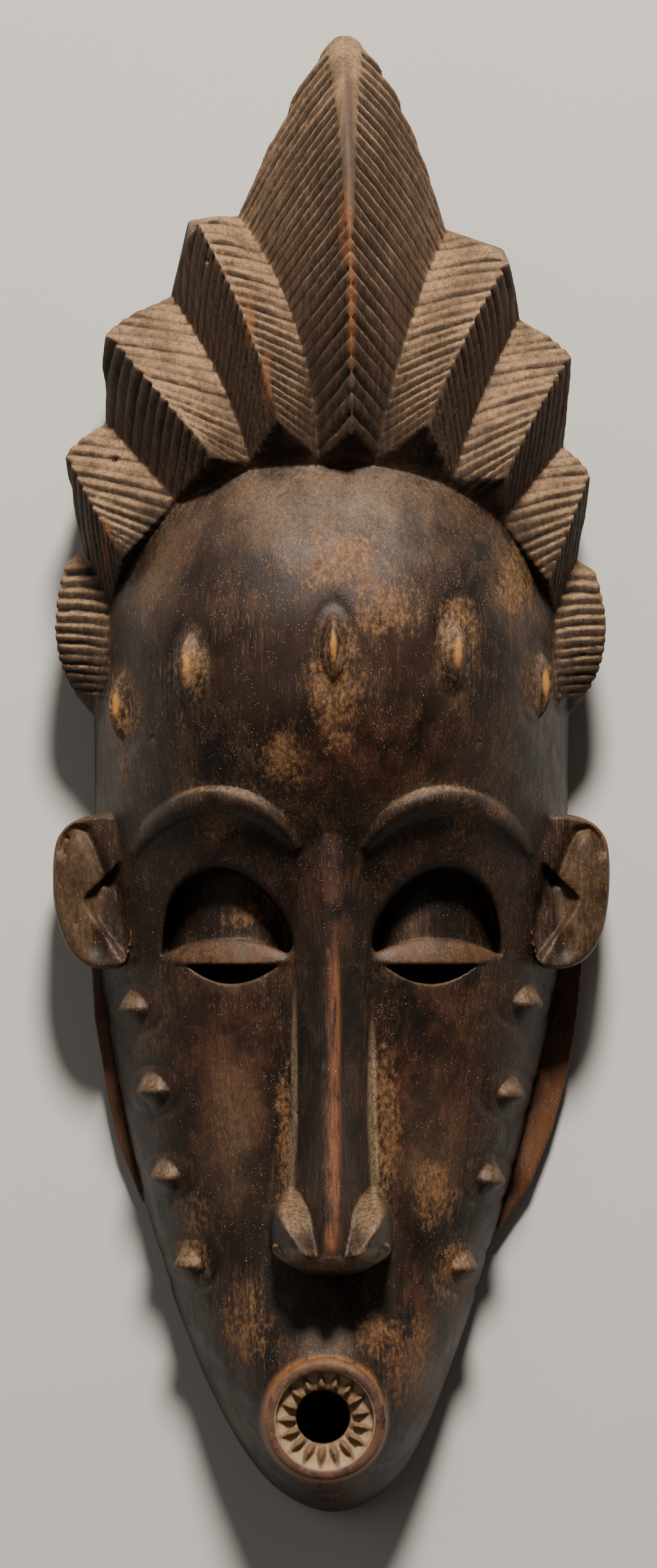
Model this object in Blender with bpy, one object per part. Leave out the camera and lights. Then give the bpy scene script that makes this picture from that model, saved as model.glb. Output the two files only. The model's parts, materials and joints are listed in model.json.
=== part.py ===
"""A Yaure face mask, carved with its crest, ears and collar from one block of wood.

It lies on the flat rim of its hollow back, face up: +Y runs from the chin to the crest,
+Z out of the face, and +X to the right of someone who looks at the face.
Free forms are laid out in carving units, which are shares of the block: the mask is
400 units high, 151 wide and 77 deep at the nose, counted from the chin, the middle of
the face and the back rim. Walls, bores, lips and grooves are sizes of their own.
"""

import math

import bmesh
import bpy
import numpy as np

# The block
HEIGHT = 0.400
WIDTH = 0.151
NOSE_DEPTH = 0.077
UNITS_HIGH = 400.0
UNITS_WIDE = 151.0
UNITS_DEEP = 77.0

# The hollow back and the rim
RIM_WIDTH = 0.0095
CREST_BACK_START = 0.268
CREST_BACK_SLOPE = 0.20
COLLAR_THICKNESS = 0.0065
COLLAR_HOLE_RADIUS = 0.0017

# The face
SOCKET_DEPTH = 0.0115
LID_RISE = 0.0015
SLIT_HEIGHT = 0.0054
SLIT_HALF_LENGTH = 0.0125
BROW_RISE = 0.0042
KELOID_RISE = 0.0042
CHEEK_BUMP_RISE = 0.0050
EAR_THICKNESS = 0.017

# The mouth
MOUTH_RADIUS = 0.0164
MOUTH_LIP = 0.0026
MOUTH_BORE_RADIUS = 0.0074
MOUTH_FRONT = 0.0635
MOUTH_CUP_DEPTH = 0.0045
TEETH = 17
TOOTH_RISE = 0.0022

# The crest
GROOVE_DEPTH = 0.0011

# How finely the solid is faceted, and how far helpers reach past what they join or cut
SHELL_ROWS = 25
SHELL_COLUMNS = 22
HOLLOW_ROWS = 13
HOLLOW_COLUMNS = 14
ROUND_SIDES = 24
BURIED = 0.008
SHARP_ANGLE = math.radians(35)
CONE_SHARE = 0.15
BELOW = 0.006
ABOVE = 0.120


def across(units):
    """A length across the face, in metres."""
    return units * WIDTH / UNITS_WIDE


def along(units):
    """A length up the face, in metres."""
    return units * HEIGHT / UNITS_HIGH


def outward(units):
    """A length out of the face, in metres."""
    return units * NOSE_DEPTH / UNITS_DEEP


def place(x, y, z=0.0):
    """A point of the carving, from units to metres, with the middle of the height at Y 0."""
    return np.array([across(x), along(y - UNITS_HIGH / 2), outward(z)])


def smooth_through(pairs):
    """A smooth curve through (place, value) pairs, flat where the pairs turn."""
    places = np.array([p for p, _ in pairs], float)
    values = np.array([v for _, v in pairs], float)
    steps = np.diff(values) / np.diff(places)
    slopes = np.zeros(len(pairs))
    slopes[0], slopes[-1] = steps[0], steps[-1]
    both = steps[:-1] * steps[1:] > 0
    slopes[1:-1][both] = (2 * steps[:-1] * steps[1:] / (steps[:-1] + steps[1:] + 1e-12))[both]

    def value(at):
        at = min(max(at, places[0]), places[-1])
        i = min(int(np.searchsorted(places, at, "right")) - 1, len(pairs) - 2)
        width = places[i + 1] - places[i]
        t = (at - places[i]) / width
        return float(
            (1 + 2 * t) * (1 - t) ** 2 * values[i]
            + t * (1 - t) ** 2 * width * slopes[i]
            + t * t * (3 - 2 * t) * values[i + 1]
            - t * t * (1 - t) * width * slopes[i + 1]
        )

    return value


# The free form of the face, in units by height above the chin
half_width = smooth_through(
    (
        (0.0, 6), (4, 13.5), (10, 19), (22, 26.5), (33, 31.5), (43, 35.5), (57, 40.5), (72, 45),
        (84, 49), (100, 53), (117, 57), (131, 59.8), (146, 62.2), (165, 63.6), (190, 64.3),
        (216, 64.5), (240, 64), (260, 61), (278, 55), (294, 46), (307, 35), (316, 21),
    )
)
face_depth = smooth_through(
    (
        (0.0, 9), (4, 22), (10, 33), (20, 42), (33, 47), (50, 48.5), (70, 47.5), (90, 49),
        (115, 52), (140, 55.5), (160, 60), (176, 66.5), (190, 74), (205, 80.5), (222, 85),
        (238, 86), (254, 83), (270, 75), (284, 64), (298, 48), (310, 28), (316, 14),
    )
)
hollow_depth = smooth_through(
    (
        (13, 16), (22, 28), (40, 35), (70, 36), (110, 36), (150, 36), (172, 42), (190, 52),
        (210, 64), (228, 70), (245, 68), (258, 58), (268, 42),
    )
)
axis_shift = smooth_through(
    ((0, 0.5), (10, 0), (28, -1), (57, -1.9), (72, -2), (100, -1.6), (146, -0.5), (200, 0), (320, 0))
)
ROUNDNESS = 2.35
MOUTH_PLACE = (-1.8, 25.9)
MOUND_RISE = 11.5
MOUND_SPREAD = 18.0


def mound(x, y):
    """How far the flesh round the mouth stands out of the face, in units."""
    apart = math.hypot(x - MOUTH_PLACE[0], (y - MOUTH_PLACE[1] - 3.0) * 0.9)
    return MOUND_RISE * math.exp(-((apart / MOUND_SPREAD) ** 2) / 2)


def face_height(x, y):
    """The height of the plain face over (x, y), in units."""
    share = min(abs(x - axis_shift(y)) / half_width(y), 0.995)
    curve = (1 - share**ROUNDNESS) ** (1 / ROUNDNESS)
    return curve * (face_depth(y) + mound(x, y))


def mesh_of(name, points, faces):
    """An object of these points and faces, facing out."""
    mesh = bpy.data.meshes.new(name)
    mesh.from_pydata([tuple(p) for p in points], [], faces)
    shape = bmesh.new()
    shape.from_mesh(mesh)
    bmesh.ops.remove_doubles(shape, verts=shape.verts, dist=1e-6)
    bmesh.ops.triangulate(shape, faces=shape.faces)
    bmesh.ops.recalc_face_normals(shape, faces=shape.faces)
    shape.to_mesh(mesh)
    shape.free()
    mesh.shade_smooth()
    mesh.set_sharp_from_angle(angle=SHARP_ANGLE)
    made = bpy.data.objects.new(name, mesh)
    bpy.context.scene.collection.objects.link(made)
    return made


def loft(name, rings):
    """A closed solid through rings of equally many points; an end that isn't flat gets a low cone."""
    count = len(rings[0])
    points = [p for ring in rings for p in ring]
    faces = []
    for ring, inner, first in ((rings[0], rings[1], 0), (rings[-1], rings[-2], len(points) - count)):
        hub = np.mean(ring, axis=0)
        if np.linalg.svd(np.array(ring) - hub)[1][2] < 1e-6:
            faces.append([first + i for i in range(count)])
        else:
            out = hub - np.mean(inner, axis=0)
            reach = max(np.linalg.norm(point - hub) for point in ring)
            hub = hub + out * CONE_SHARE * reach / np.linalg.norm(out)
            faces += [(first + i, first + (i + 1) % count, len(points)) for i in range(count)]
            points.append(hub)
    for row in range(len(rings) - 1):
        low, high = row * count, (row + 1) * count
        for i in range(count):
            j = (i + 1) % count
            faces.append((low + i, low + j, high + j, high + i))
    return mesh_of(name, points, faces)


def together(name, pieces):
    """One helper out of several that do not touch."""
    points, faces = [], []
    for piece in pieces:
        first = len(points)
        points += [vertex.co.copy() for vertex in piece.data.vertices]
        faces += [[first + i for i in face.vertices] for face in piece.data.polygons]
        bpy.data.objects.remove(piece)
    return mesh_of(name, points, faces)


def carve(target, tool, operation):
    """Joins the tool to the target or cuts it away, and keeps the tool as a hidden helper."""
    step = target.modifiers.new(tool.name, "BOOLEAN")
    step.operation = operation
    step.solver = "MANIFOLD"
    step.object = tool
    tool.hide_render = True
    tool.display_type = "WIRE"


def spread(low, high, count):
    """Places from low to high, closer together at both ends."""
    return [low + (high - low) * (1 - math.cos(math.pi * i / (count - 1))) / 2 for i in range(count)]


def shell():
    """The plain head, solid, from the chin to under the crest."""
    rings = []
    for y in spread(0.0, 316, SHELL_ROWS):
        ring = [place(half_width(y) + axis_shift(y), y) - np.array([0, 0, BELOW])]
        for i in range(SHELL_COLUMNS + 1):
            angle = math.pi * i / SHELL_COLUMNS
            cosine = math.cos(angle)
            x = axis_shift(y) + half_width(y) * math.copysign(abs(cosine) ** (2 / ROUNDNESS), cosine)
            z = (face_depth(y) + mound(x, y)) * abs(math.sin(angle)) ** (2 / ROUNDNESS)
            ring.append(place(x, y, z))
        ring.append(place(axis_shift(y) - half_width(y), y) - np.array([0, 0, BELOW]))
        rings.append(ring)
    return loft("mask", rings)


def hollow():
    """The space behind the face."""
    rings = []
    for y in spread(13, 268, HOLLOW_ROWS):
        wide = across(half_width(y)) - RIM_WIDTH
        deep = outward(hollow_depth(y))
        ring = []
        for i in range(HOLLOW_COLUMNS + 1):
            angle = math.pi * i / HOLLOW_COLUMNS
            cosine = math.cos(angle)
            x = wide * math.copysign(abs(cosine) ** (2 / ROUNDNESS), cosine)
            ring.append(place(axis_shift(y), y) + np.array([x, 0, deep * abs(math.sin(angle)) ** 0.85]))
        ring.insert(0, ring[0] - np.array([0, 0, 2 * BELOW]))
        ring.append(ring[-1] - np.array([0, 0, 2 * BELOW]))
        rings.append(ring)
    return loft("hollow_back", rings)


def back_cut():
    """Everything behind the rim's plane, and behind the crest's sloping back."""
    far = 2 * HEIGHT
    start = CREST_BACK_START - HEIGHT / 2
    profile = [(-far, -far), (-far, 0.0), (start, 0.0), (far, (far - start) * CREST_BACK_SLOPE), (far, -far)]
    return loft("back_cut", [[np.array([x, y, z]) for y, z in profile] for x in (-WIDTH, WIDTH)])


def bent(start, bend, end):
    """A curve from start to end that leans towards bend, as a function of the share along it."""
    start, bend, end = (np.array(p, float) for p in (start, bend, end))
    return lambda s: (1 - s) ** 2 * start + 2 * s * (1 - s) * bend + s * s * end


# Each lobe of the crest: its ridge and its two valleys, each as start, bend and end in units,
# and the number of grooves on each flank. A lobe overlaps its neighbours at the valleys.
VALLEY_1 = ((-3.7, 285.3, 66), (-5.0, 324, 74), (-25.2, 351.1, 42))
VALLEY_2 = ((-22.2, 284.5, 64), (-27.6, 306.3, 62), (-43.2, 329.5, 36))
VALLEY_3 = ((-42.3, 274.4, 57), (-49.0, 282.0, 52), (-61.0, 295.5, 30))
VALLEY_4 = ((-60.6, 244.5, 34), (-62.5, 249.0, 30), (-66.0, 255.0, 20))
VALLEY_5 = ((-64.5, 217.0, 10), (-71.5, 232.0, 8), (-67.0, 258.0, 6))
VALLEY_INNER_5 = ((-59.5, 219.0, 38), (-58.5, 236.0, 42), (-59.5, 254.0, 33))
VALLEY_6 = ((12.0, 285.8, 66), (18.5, 318, 74), (30.6, 347.5, 42))
VALLEY_7 = ((33.0, 280.0, 63), (38.5, 300.0, 60), (50.8, 323.5, 36))
VALLEY_8 = ((46.5, 268.5, 55), (52.5, 277.0, 50), (62.8, 289.0, 30))
VALLEY_9 = ((61.0, 242.5, 33), (62.5, 248.0, 29), (66.0, 253.0, 20))
VALLEY_10 = ((64.5, 217.0, 10), (71.0, 230.0, 8), (67.0, 256.0, 6))
VALLEY_INNER_10 = ((60.0, 218.5, 37), (59.0, 235.0, 41), (60.0, 252.0, 32))
LOBES = (
    ("lobe_middle", ((5.5, 291.5, 79), (5.4, 363, 92), (2.8, 400, 42)), VALLEY_1, VALLEY_6, 23),
    ("lobe_right_1", ((26.0, 294.0, 76), (34.0, 316, 80), (47.9, 338.8, 52)), VALLEY_6, VALLEY_7, 14),
    ("lobe_right_2", ((47.2, 280.0, 66), (55.5, 299, 67), (65.0, 313.5, 42)), VALLEY_7, VALLEY_8, 12),
    ("lobe_right_3", ((58.8, 252.0, 52), (65.5, 268, 54), (70.2, 281.5, 36)), VALLEY_8, VALLEY_9, 10),
    ("lobe_right_4", ((69.5, 222.0, 28), (78.5, 236, 38), (72.0, 255.0, 26)), VALLEY_INNER_10, VALLEY_10, 8),
    ("lobe_left_1", ((-14.6, 296.0, 77), (-20.3, 320.5, 82), (-36.0, 349.0, 54)), VALLEY_1, VALLEY_2, 15),
    ("lobe_left_2", ((-31.9, 285.5, 73), (-44.0, 300.5, 76), (-61.0, 319.4, 46)), VALLEY_2, VALLEY_3, 13),
    ("lobe_left_3", ((-56.5, 258.5, 56), (-64.0, 270.0, 58), (-72.2, 286.8, 36)), VALLEY_3, VALLEY_4, 11),
    ("lobe_left_4", ((-70.0, 222.5, 28), (-79.0, 236, 38), (-72.5, 257.0, 26)), VALLEY_INNER_5, VALLEY_5, 8),
)
RIDGE_BAND = 0.09
PAST_VALLEY = 1.13
# A flank bows out along its run: where it bows most, and how much of that it has by the ridge
BOW_PLACE = 0.47
BOW_AT_BAND = 0.33
BOW_SHARE = 0.095
# The tall middle lobe swells level instead, by these shares of its flanks' lengths, nearer its tip
MIDDLE_BOW_PLACE = 0.36
MIDDLE_BOW_AT_BAND = 0.6
MIDDLE_BOWS = (0.052, 0.092)
FOOT_SUNK = 0.003
VALLEY_LAP = 0.0007


def flank(ridge, valley, other, grooves, lap, level_bow):
    """Rows of points from the ridge to just past the valley, with V grooves between the barbs."""
    bow_place = MIDDLE_BOW_PLACE if level_bow else BOW_PLACE
    bow_at_band = MIDDLE_BOW_AT_BAND if level_bow else BOW_AT_BAND
    rows = []
    for step in range(2 * grooves + 1):
        s = step / (2 * grooves)
        top, foot = place(*ridge(s)), place(*valley(s))
        down = foot - top
        run = place(*ridge(min(s + 0.02, 1))) - place(*ridge(max(s - 0.02, 0)))
        normal = np.cross(run, down)
        normal /= np.linalg.norm(normal)
        if normal @ (place(*other(s)) - top) < 0:
            normal = -normal
        sunk = normal * GROOVE_DEPTH if step % 2 else 0.0 * normal
        bow = np.cross(normal, down)
        bow *= math.copysign(BOW_SHARE * s * s, bow @ run)
        if level_bow:
            bow = np.array([math.copysign(down[1], down[0]), abs(down[0]), 0]) * level_bow * s**3
        ahead = place(*valley(min(s + 0.02, 1))) - place(*valley(max(s - 0.02, 0)))
        pitch = np.linalg.norm(ahead) / 0.08 / grooves
        shallow = min(1, 0.35 * pitch / GROOVE_DEPTH)
        rows.append(
            [
                top,
                top + down * RIDGE_BAND + 0.5 * sunk + bow_at_band * bow,
                top + down * bow_place + sunk + bow,
                top + down * PAST_VALLEY + sunk * shallow + (0, 0, lap),
            ]
        )
    return rows


def lobe(number, name, ridge, first, second, grooves):
    """One roof-shaped lobe of the crest, grooved on both flanks, as a closed solid."""
    below = BELOW * (1.1 + 0.1 * number)
    curve, near, far = bent(*ridge), bent(*first), bent(*second)
    bows = (0.0, 0.0) if number else MIDDLE_BOWS
    one = flank(curve, near, far, grooves, VALLEY_LAP if number else 0.0, bows[0])
    two = flank(curve, far, near, grooves, 0.0, bows[1])
    rings = []
    for left, right in zip(one, two):
        ring = left[::-1] + right[1:]
        low_end = ring[-1] * (1, 1, 0) - (0, 0, below)
        low_start = ring[0] * (1, 1, 0) - (0, 0, below)
        rings.append(ring + [low_end, low_start])
    if first[0][2] > 3 * second[0][2]:
        return loft(name, rings)
    start, end = rings[0][0], rings[0][-3]
    side = end - start
    inward = (place(*curve(0.0)) - place(*curve(0.1))) * (1, 1, 0)
    sunk = inward * FOOT_SUNK / np.linalg.norm(inward) - (0, 0, FOOT_SUNK)
    foot = [start + side * (side @ (point - start)) / (side @ side) + sunk for point in rings[0][:-2]]
    foot += [foot[-1] * (1, 1, 0) - (0, 0, below), foot[0] * (1, 1, 0) - (0, 0, below)]
    return loft(name, [foot] + rings)


def almond(name, middle, along_it, half_length, half_breadth, rise):
    """A raised almond with a ridge down its length, standing on the face."""
    x, y = middle
    step = 0.5
    at = place(x, y, face_height(x, y))
    slope_x = place(x + step, y, face_height(x + step, y)) - place(x - step, y, face_height(x - step, y))
    slope_y = place(x, y + step, face_height(x, y + step)) - place(x, y - step, face_height(x, y - step))
    normal = np.cross(slope_x, slope_y)
    normal /= np.linalg.norm(normal)
    long_way = slope_y if along_it == "Y" else slope_x
    long_way = long_way / np.linalg.norm(long_way)
    short_way = np.cross(normal, long_way)
    rings = []
    for share in (-0.97, -0.6, 0.0, 0.6, 0.97):
        middle_point = at + long_way * half_length * share
        breadth = half_breadth * (1 - share * share) ** 0.75
        height = rise * (1 - share * share) ** 0.6
        rings.append(
            [
                middle_point - short_way * breadth * 1.2 - normal * BURIED * 0.4,
                middle_point - short_way * breadth * 0.5 + normal * height * 0.62,
                middle_point + normal * height,
                middle_point + short_way * breadth * 0.5 + normal * height * 0.62,
                middle_point + short_way * breadth * 1.2 - normal * BURIED * 0.4,
            ]
        )
    return loft(name, rings)


KELOIDS = ((0.5, 234.5), (-38.0, 229.5), (33.2, 232.8), (-56.6, 218.5), (56.3, 224.5))
KELOID_HALF_LENGTH = 9.3
KELOID_HALF_BREADTH = 4.4
CHEEK_BUMPS = (
    (-53.3, 136.9), (-48.2, 114.7), (-44.6, 91.3), (-38.4, 67.5),
    (52.6, 138.4), (48.2, 113.6), (42.6, 90.5), (35.6, 66.6),
)
BUMP_HALF_LENGTH = 6.1
BUMP_HALF_BREADTH = 5.3


# Across a brow from its upper edge: the share of its breadth, and the share of its rise
BROW_PROFILE = ((-0.15, -1.6), (0.0, 0.0), (0.24, 0.78), (0.46, 1.0), (0.72, 0.85), (0.95, 0.2), (1.1, -1.6))


def brow(side):
    """A rounded brow that follows an arc over the eye and thins to both ends."""
    middle_x, middle_y, radius = 31.2 * side, 172.8, 24.4
    rings = []
    stations = 9
    for i in range(stations):
        share = i / (stations - 1)
        angle = math.radians(14 + 148 * share)
        taper = math.sin(math.pi * min(max(share, 0.02), 0.98)) ** 0.6
        breadth = 1.6 + 6.6 * taper
        rise = BROW_RISE * (0.25 + 0.75 * taper)
        ring = []
        for inward, lift in BROW_PROFILE:
            from_middle = radius - inward * breadth
            x = middle_x + side * from_middle * math.cos(angle)
            y = middle_y + from_middle * math.sin(angle)
            ring.append(place(x, y, face_height(x, y)) + np.array([0, 0, rise * lift]))
        rings.append(ring)
    return loft(f"brow_{'right' if side > 0 else 'left'}", rings)


# Down the nose: place, half the ridge, half the base and height, in units
NOSE_STATIONS = (
    (193, 3.4, 8.0, 69.0), (183, 3.2, 8.4, 70.9), (170, 2.5, 9.0, 70.9), (152, 2.2, 10.2, 71.0),
    (125, 2.3, 10.7, 72.0), (102, 2.5, 11.3, 74.0), (88, 2.7, 12.0, 75.6), (80, 2.6, 12.0, 76.6),
    (73.9, 2.4, 12.0, 77.0), (71.6, 2.4, 12.0, 68.5),
)
# Down a wing of the nose: place, outer edge, crest, height of the crest and inner edge, in units
NOSTRIL_STATIONS = (
    (88.4, 11.9, 11.2, 55.0, 9.5), (85.8, 14.2, 10.8, 63.5, 6.0), (82.0, 15.8, 9.8, 69.0, 3.5),
    (78.0, 16.5, 8.2, 72.8, 2.5), (74.0, 16.6, 6.3, 74.6, 1.5), (71.7, 16.2, 6.3, 67.0, 1.5),
)
NOSE_BOW = 4.4


def bowed(x, y):
    """The place of a point of the nose's lower end, which bows down in the middle."""
    return y - NOSE_BOW * (1 - (x / 16.6) ** 2) * min(1.0, max(0.0, (80 - y) / 6))


def nose():
    """The long straight nose with its narrow flat ridge, down to its bowed lower edge."""
    rings = []
    for y, ridge, base, top in NOSE_STATIONS:
        ring = []
        low = min(face_height(base, y), top - 4)
        sides = ((base, -0.35), (base, 0.02), (base * 0.52 + ridge * 0.3, 0.46), (ridge, 1.0))
        for x, lift in [(-x, lift) for x, lift in sides] + list(sides[::-1]):
            ring.append(place(x, bowed(x, y), low + (top - low) * lift))
        rings.append(ring)
    return loft("nose", rings)


def nostril(side):
    """A wing of the nose, whose crest runs inward to the tip."""
    rings = []
    for y, outer, crest, top, inner in NOSTRIL_STATIONS:
        low = face_height(outer, y)
        ring = []
        for x, lift in (
            (outer, -0.3), (outer, 0.15), (outer - 0.12 * (outer - crest), 0.6),
            (crest + 0.4 * (outer - crest), 0.9), (crest, 1.0), (inner, 0.85), (inner, -0.3),
        ):
            ring.append(place(side * x, bowed(x, y), low + (top - low) * lift))
        rings.append(ring)
    return loft(f"nostril_{'right' if side > 0 else 'left'}", rings)


SOCKET_OUTLINE = (
    (9.9, 152.2), (11.2, 159.5), (14.5, 165.6), (19.4, 170.8), (24.8, 174.2), (30.6, 175.6), (37.2, 173.8),
    (42.6, 168.8), (45.2, 161.5), (46.2, 153.5), (45.6, 149.6), (36.0, 148.0), (27.0, 147.4), (18.0, 148.6),
)
LID_MIDDLE = (28.2, 152.5)


def scoop(name, outline, middle, edge_depth, middle_depth, lean=0.94):
    """A cutter for a dish whose floor rises from its edge to its middle, below the face."""
    rings = []
    shares = ((1.08, None), (1.05, 0.0), (1.0, 0.0011), (lean, edge_depth), (0.7, None), (0.4, None), (0.1, None))
    for share, depth in shares:
        ring = []
        for x, y in outline:
            px = middle[0] + (x - middle[0]) * share
            py = middle[1] + (y - middle[1]) * share
            point = place(px, py, face_height(px, py))
            if share > 1.06:
                point[2] = ABOVE
            elif depth is not None:
                point[2] -= depth
            else:
                out = (share / lean) ** 2
                point[2] -= middle_depth + (edge_depth - middle_depth) * out
            ring.append(point)
        rings.append(ring)
    return loft(name, rings)


def mirrored(points, side):
    """Outline points of the right side of the face, kept or mirrored to the left."""
    return [(side * x, y) for x, y in points]


def socket(side):
    """The hollow of an eye, whose floor swells into the closed lid."""
    name = f"socket_{'right' if side > 0 else 'left'}"
    outline = mirrored(SOCKET_OUTLINE, side)
    return scoop(name, outline, (side * LID_MIDDLE[0], LID_MIDDLE[1]), SOCKET_DEPTH, 0.0035)


def lid(side):
    """The ledge along the lower edge of a closed lid."""
    rings = []
    stations = 9
    for i in range(stations):
        share = -1 + 2 * i / (stations - 1)
        x = side * 28.2 + 18.4 * share
        curve = 1 - abs(share) ** 2.2
        upper, lower = 150.6 + 5.0 * curve, 149.9 - 1.4 * curve
        surface = place(x, lower, face_height(x, lower))
        back = place(x, upper, face_height(x, upper))
        rings.append(
            [
                surface + np.array([0, 0, LID_RISE * curve]),
                back - np.array([0, 0, 0.0025 * curve + 0.0005]),
                back - np.array([0, 0, SOCKET_DEPTH + 0.003]),
                surface - np.array([0, 0, SOCKET_DEPTH + 0.003]),
            ]
        )
    return loft(f"lid_{'right' if side > 0 else 'left'}", rings)


def slit(side):
    """The opening under a lid that the wearer looks through."""
    stations = 9
    top_y = along(148.9 - UNITS_HIGH / 2)
    middle = across(side * 26.8)
    upper, lower = [], []
    for i in range(stations):
        share = -1 + 2 * i / (stations - 1)
        x = middle + SLIT_HALF_LENGTH * share
        upper.append((x, top_y))
        lower.append((x, top_y - 0.0003 - (SLIT_HEIGHT - 0.0003) * (1 - share * share)))
    outline = upper + lower[::-1]
    return loft(
        f"slit_{'right' if side > 0 else 'left'}",
        [[np.array([x, y, z]) for x, y in outline] for z in (outward(20), ABOVE)],
    )


def turned(name, middle, profile, sides=ROUND_SIDES):
    """A round solid about an axis along Z, from (radius, height) pairs."""
    angles = [2 * math.pi * i / sides for i in range(sides)]
    return loft(
        name,
        [[middle + (r * math.cos(a), r * math.sin(a), height) for a in angles] for r, height in profile],
    )


def mouth_middle():
    """The middle of the mouth, in the rim's plane."""
    return place(*MOUTH_PLACE)


def mouth_tube():
    """The short tube of the pursed mouth, with a softened rim."""
    outer = MOUTH_RADIUS
    return turned(
        "mouth_tube",
        mouth_middle(),
        (
            (outer * 1.1, 0.030), (outer * 1.03, MOUTH_FRONT - 0.008),
            (outer, MOUTH_FRONT - 0.0008), (outer - 0.0008, MOUTH_FRONT),
        ),
    )


def mouth_cup():
    """The cone that narrows from the lip to the bore."""
    inner = MOUTH_RADIUS - MOUTH_LIP
    return turned(
        "mouth_cup",
        mouth_middle(),
        (
            (MOUTH_BORE_RADIUS * 0.8, MOUTH_FRONT - MOUTH_CUP_DEPTH),
            (inner - 0.0006, MOUTH_FRONT - 0.0022),
            (inner, MOUTH_FRONT + 0.01),
        ),
    )


def mouth_bore():
    """The round hole through the mouth."""
    return turned(
        "mouth_bore",
        mouth_middle(),
        ((MOUTH_BORE_RADIUS, outward(10)), (MOUTH_BORE_RADIUS, ABOVE)),
        sides=20,
    )


def tooth(index):
    """One pointed tooth on the sloping floor of the mouth."""
    angle = 2 * math.pi * (index + 0.5) / TEETH
    radial = np.array([math.cos(angle), math.sin(angle), 0])
    sideways = np.array([-math.sin(angle), math.cos(angle), 0])
    up = np.array([0, 0, 1.0])
    inner, outer = MOUTH_BORE_RADIUS + 0.0002, MOUTH_RADIUS - MOUTH_LIP - 0.0004
    half = 0.38 * 2 * math.pi * (inner + outer) / 2 / TEETH
    low, high = MOUTH_FRONT - MOUTH_CUP_DEPTH, MOUTH_FRONT - 0.0022
    rings = []
    for share, breadth, rise in ((0.0, 0.45, 0.5), (0.4, 1.0, 1.0), (0.97, 0.12, 0.25)):
        floor = low + (high - low) * share
        at = mouth_middle() + radial * (inner + (outer - inner) * share)
        rings.append(
            [
                at - sideways * half * breadth * 1.15 + up * (floor - 0.5 * TOOTH_RISE * rise),
                at + up * (floor + TOOTH_RISE * rise),
                at + sideways * half * breadth * 1.15 + up * (floor - 0.5 * TOOTH_RISE * rise),
            ]
        )
    return loft(f"tooth_{index + 1}", rings)


EAR_OUTLINE = (
    (54.0, 187.5), (61.0, 189.6), (67.0, 188.7), (71.5, 186.6), (74.6, 182.5), (75.5, 176.0), (75.5, 167.5),
    (74.1, 159.0), (71.4, 152.7), (67.5, 149.0), (62.5, 147.4), (54.0, 148.5),
)
EAR_FRONT = 37.0
EAR_LEAN = 0.30


def ear(side):
    """A C-shaped ear, leaning back away from the face."""
    middle = (62.0, 168.0)
    rings = []
    front = outward(EAR_FRONT)
    levels = (
        (0.90, front - EAR_THICKNESS), (1.0, front - 0.75 * EAR_THICKNESS), (1.0, front - 0.0022), (0.965, front),
    )
    for share, level in levels:
        ring = []
        for x, y in mirrored(EAR_OUTLINE, side):
            px = side * middle[0] + (x - side * middle[0]) * share
            py = middle[1] + (y - middle[1]) * share
            lean = EAR_LEAN * (across(abs(px)) - across(58.0))
            point = place(px, py)
            point[2] = level - lean
            ring.append(point)
        rings.append(ring)
    return loft(f"ear_{'right' if side > 0 else 'left'}", rings)


EAR_UPPER_HOLLOW = (
    (59.5, 171.5), (59.0, 178.5), (61.5, 183.8), (65.0, 185.0), (67.2, 181.5), (67.4, 174.5), (66.3, 166.5),
    (64.8, 163.8),
)
EAR_LOWER_HOLLOW = ((60.0, 153.0), (60.0, 158.5), (64.2, 160.6), (66.6, 158.0), (66.4, 154.0), (63.5, 151.6))


def ear_hollow(side, outline, number, depth):
    """A cutter for one of the shallow hollows in an ear."""
    middle = np.mean(outline, axis=0)
    front = outward(EAR_FRONT)
    rings = []
    for share, down in ((1.1, -0.012), (1.0, 0.0), (0.55, depth)):
        ring = []
        for x, y in mirrored(outline, side):
            px = side * middle[0] + (x - side * middle[0]) * share
            py = middle[1] + (y - middle[1]) * share
            point = place(px, py)
            point[2] = front - EAR_LEAN * (across(abs(px)) - across(58.0)) - down
            ring.append(point)
        rings.append(ring)
    return loft(f"ear_hollow_{number}_{'right' if side > 0 else 'left'}", rings)


COLLAR_OUTLINES = {
    "right": (
        (67.5, 186.0), (69.2, 165.0), (68.4, 149.5), (66.9, 134.0), (64.0, 117.0), (59.8, 103.0),
        (54.1, 89.3), (45.6, 76.4), (36.0, 78.0), (50.0, 125.0), (54.0, 186.0),
    ),
    "left": (
        (-66.5, 186.0), (-66.6, 165.0), (-65.2, 147.0), (-64.4, 134.0), (-62.6, 122.8), (-60.6, 111.4),
        (-57.9, 99.9), (-51.6, 84.0), (-36.0, 86.0), (-50.0, 125.0), (-54.0, 186.0),
    ),
}


def collar(side):
    """The thin flange that frames the jaw from behind the ear."""
    outline = COLLAR_OUTLINES[side]
    rings = []
    for level in (-1.05 * BELOW, COLLAR_THICKNESS):
        rings.append([place(x, y) * (1, 1, 0) + (0, 0, level) for x, y in outline])
    return loft(f"collar_{side}", rings)


def collar_hole():
    """The small hole for a cord in the collar beside the cheek."""
    return turned(
        "collar_hole",
        place(63.2, 132.5),
        ((COLLAR_HOLE_RADIUS, -2 * BELOW), (COLLAR_HOLE_RADIUS, COLLAR_THICKNESS + BELOW)),
        sides=8,
    )


def wood():
    """Dark, dry-rubbed brown wood."""
    material = bpy.data.materials.new("dark_wood")
    material.use_nodes = True
    surface = material.node_tree.nodes["Principled BSDF"]
    surface.inputs["Base Color"].default_value = (0.060, 0.034, 0.020, 1)
    surface.inputs["Roughness"].default_value = 0.48
    surface.inputs["Metallic"].default_value = 0.0
    return material


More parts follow.
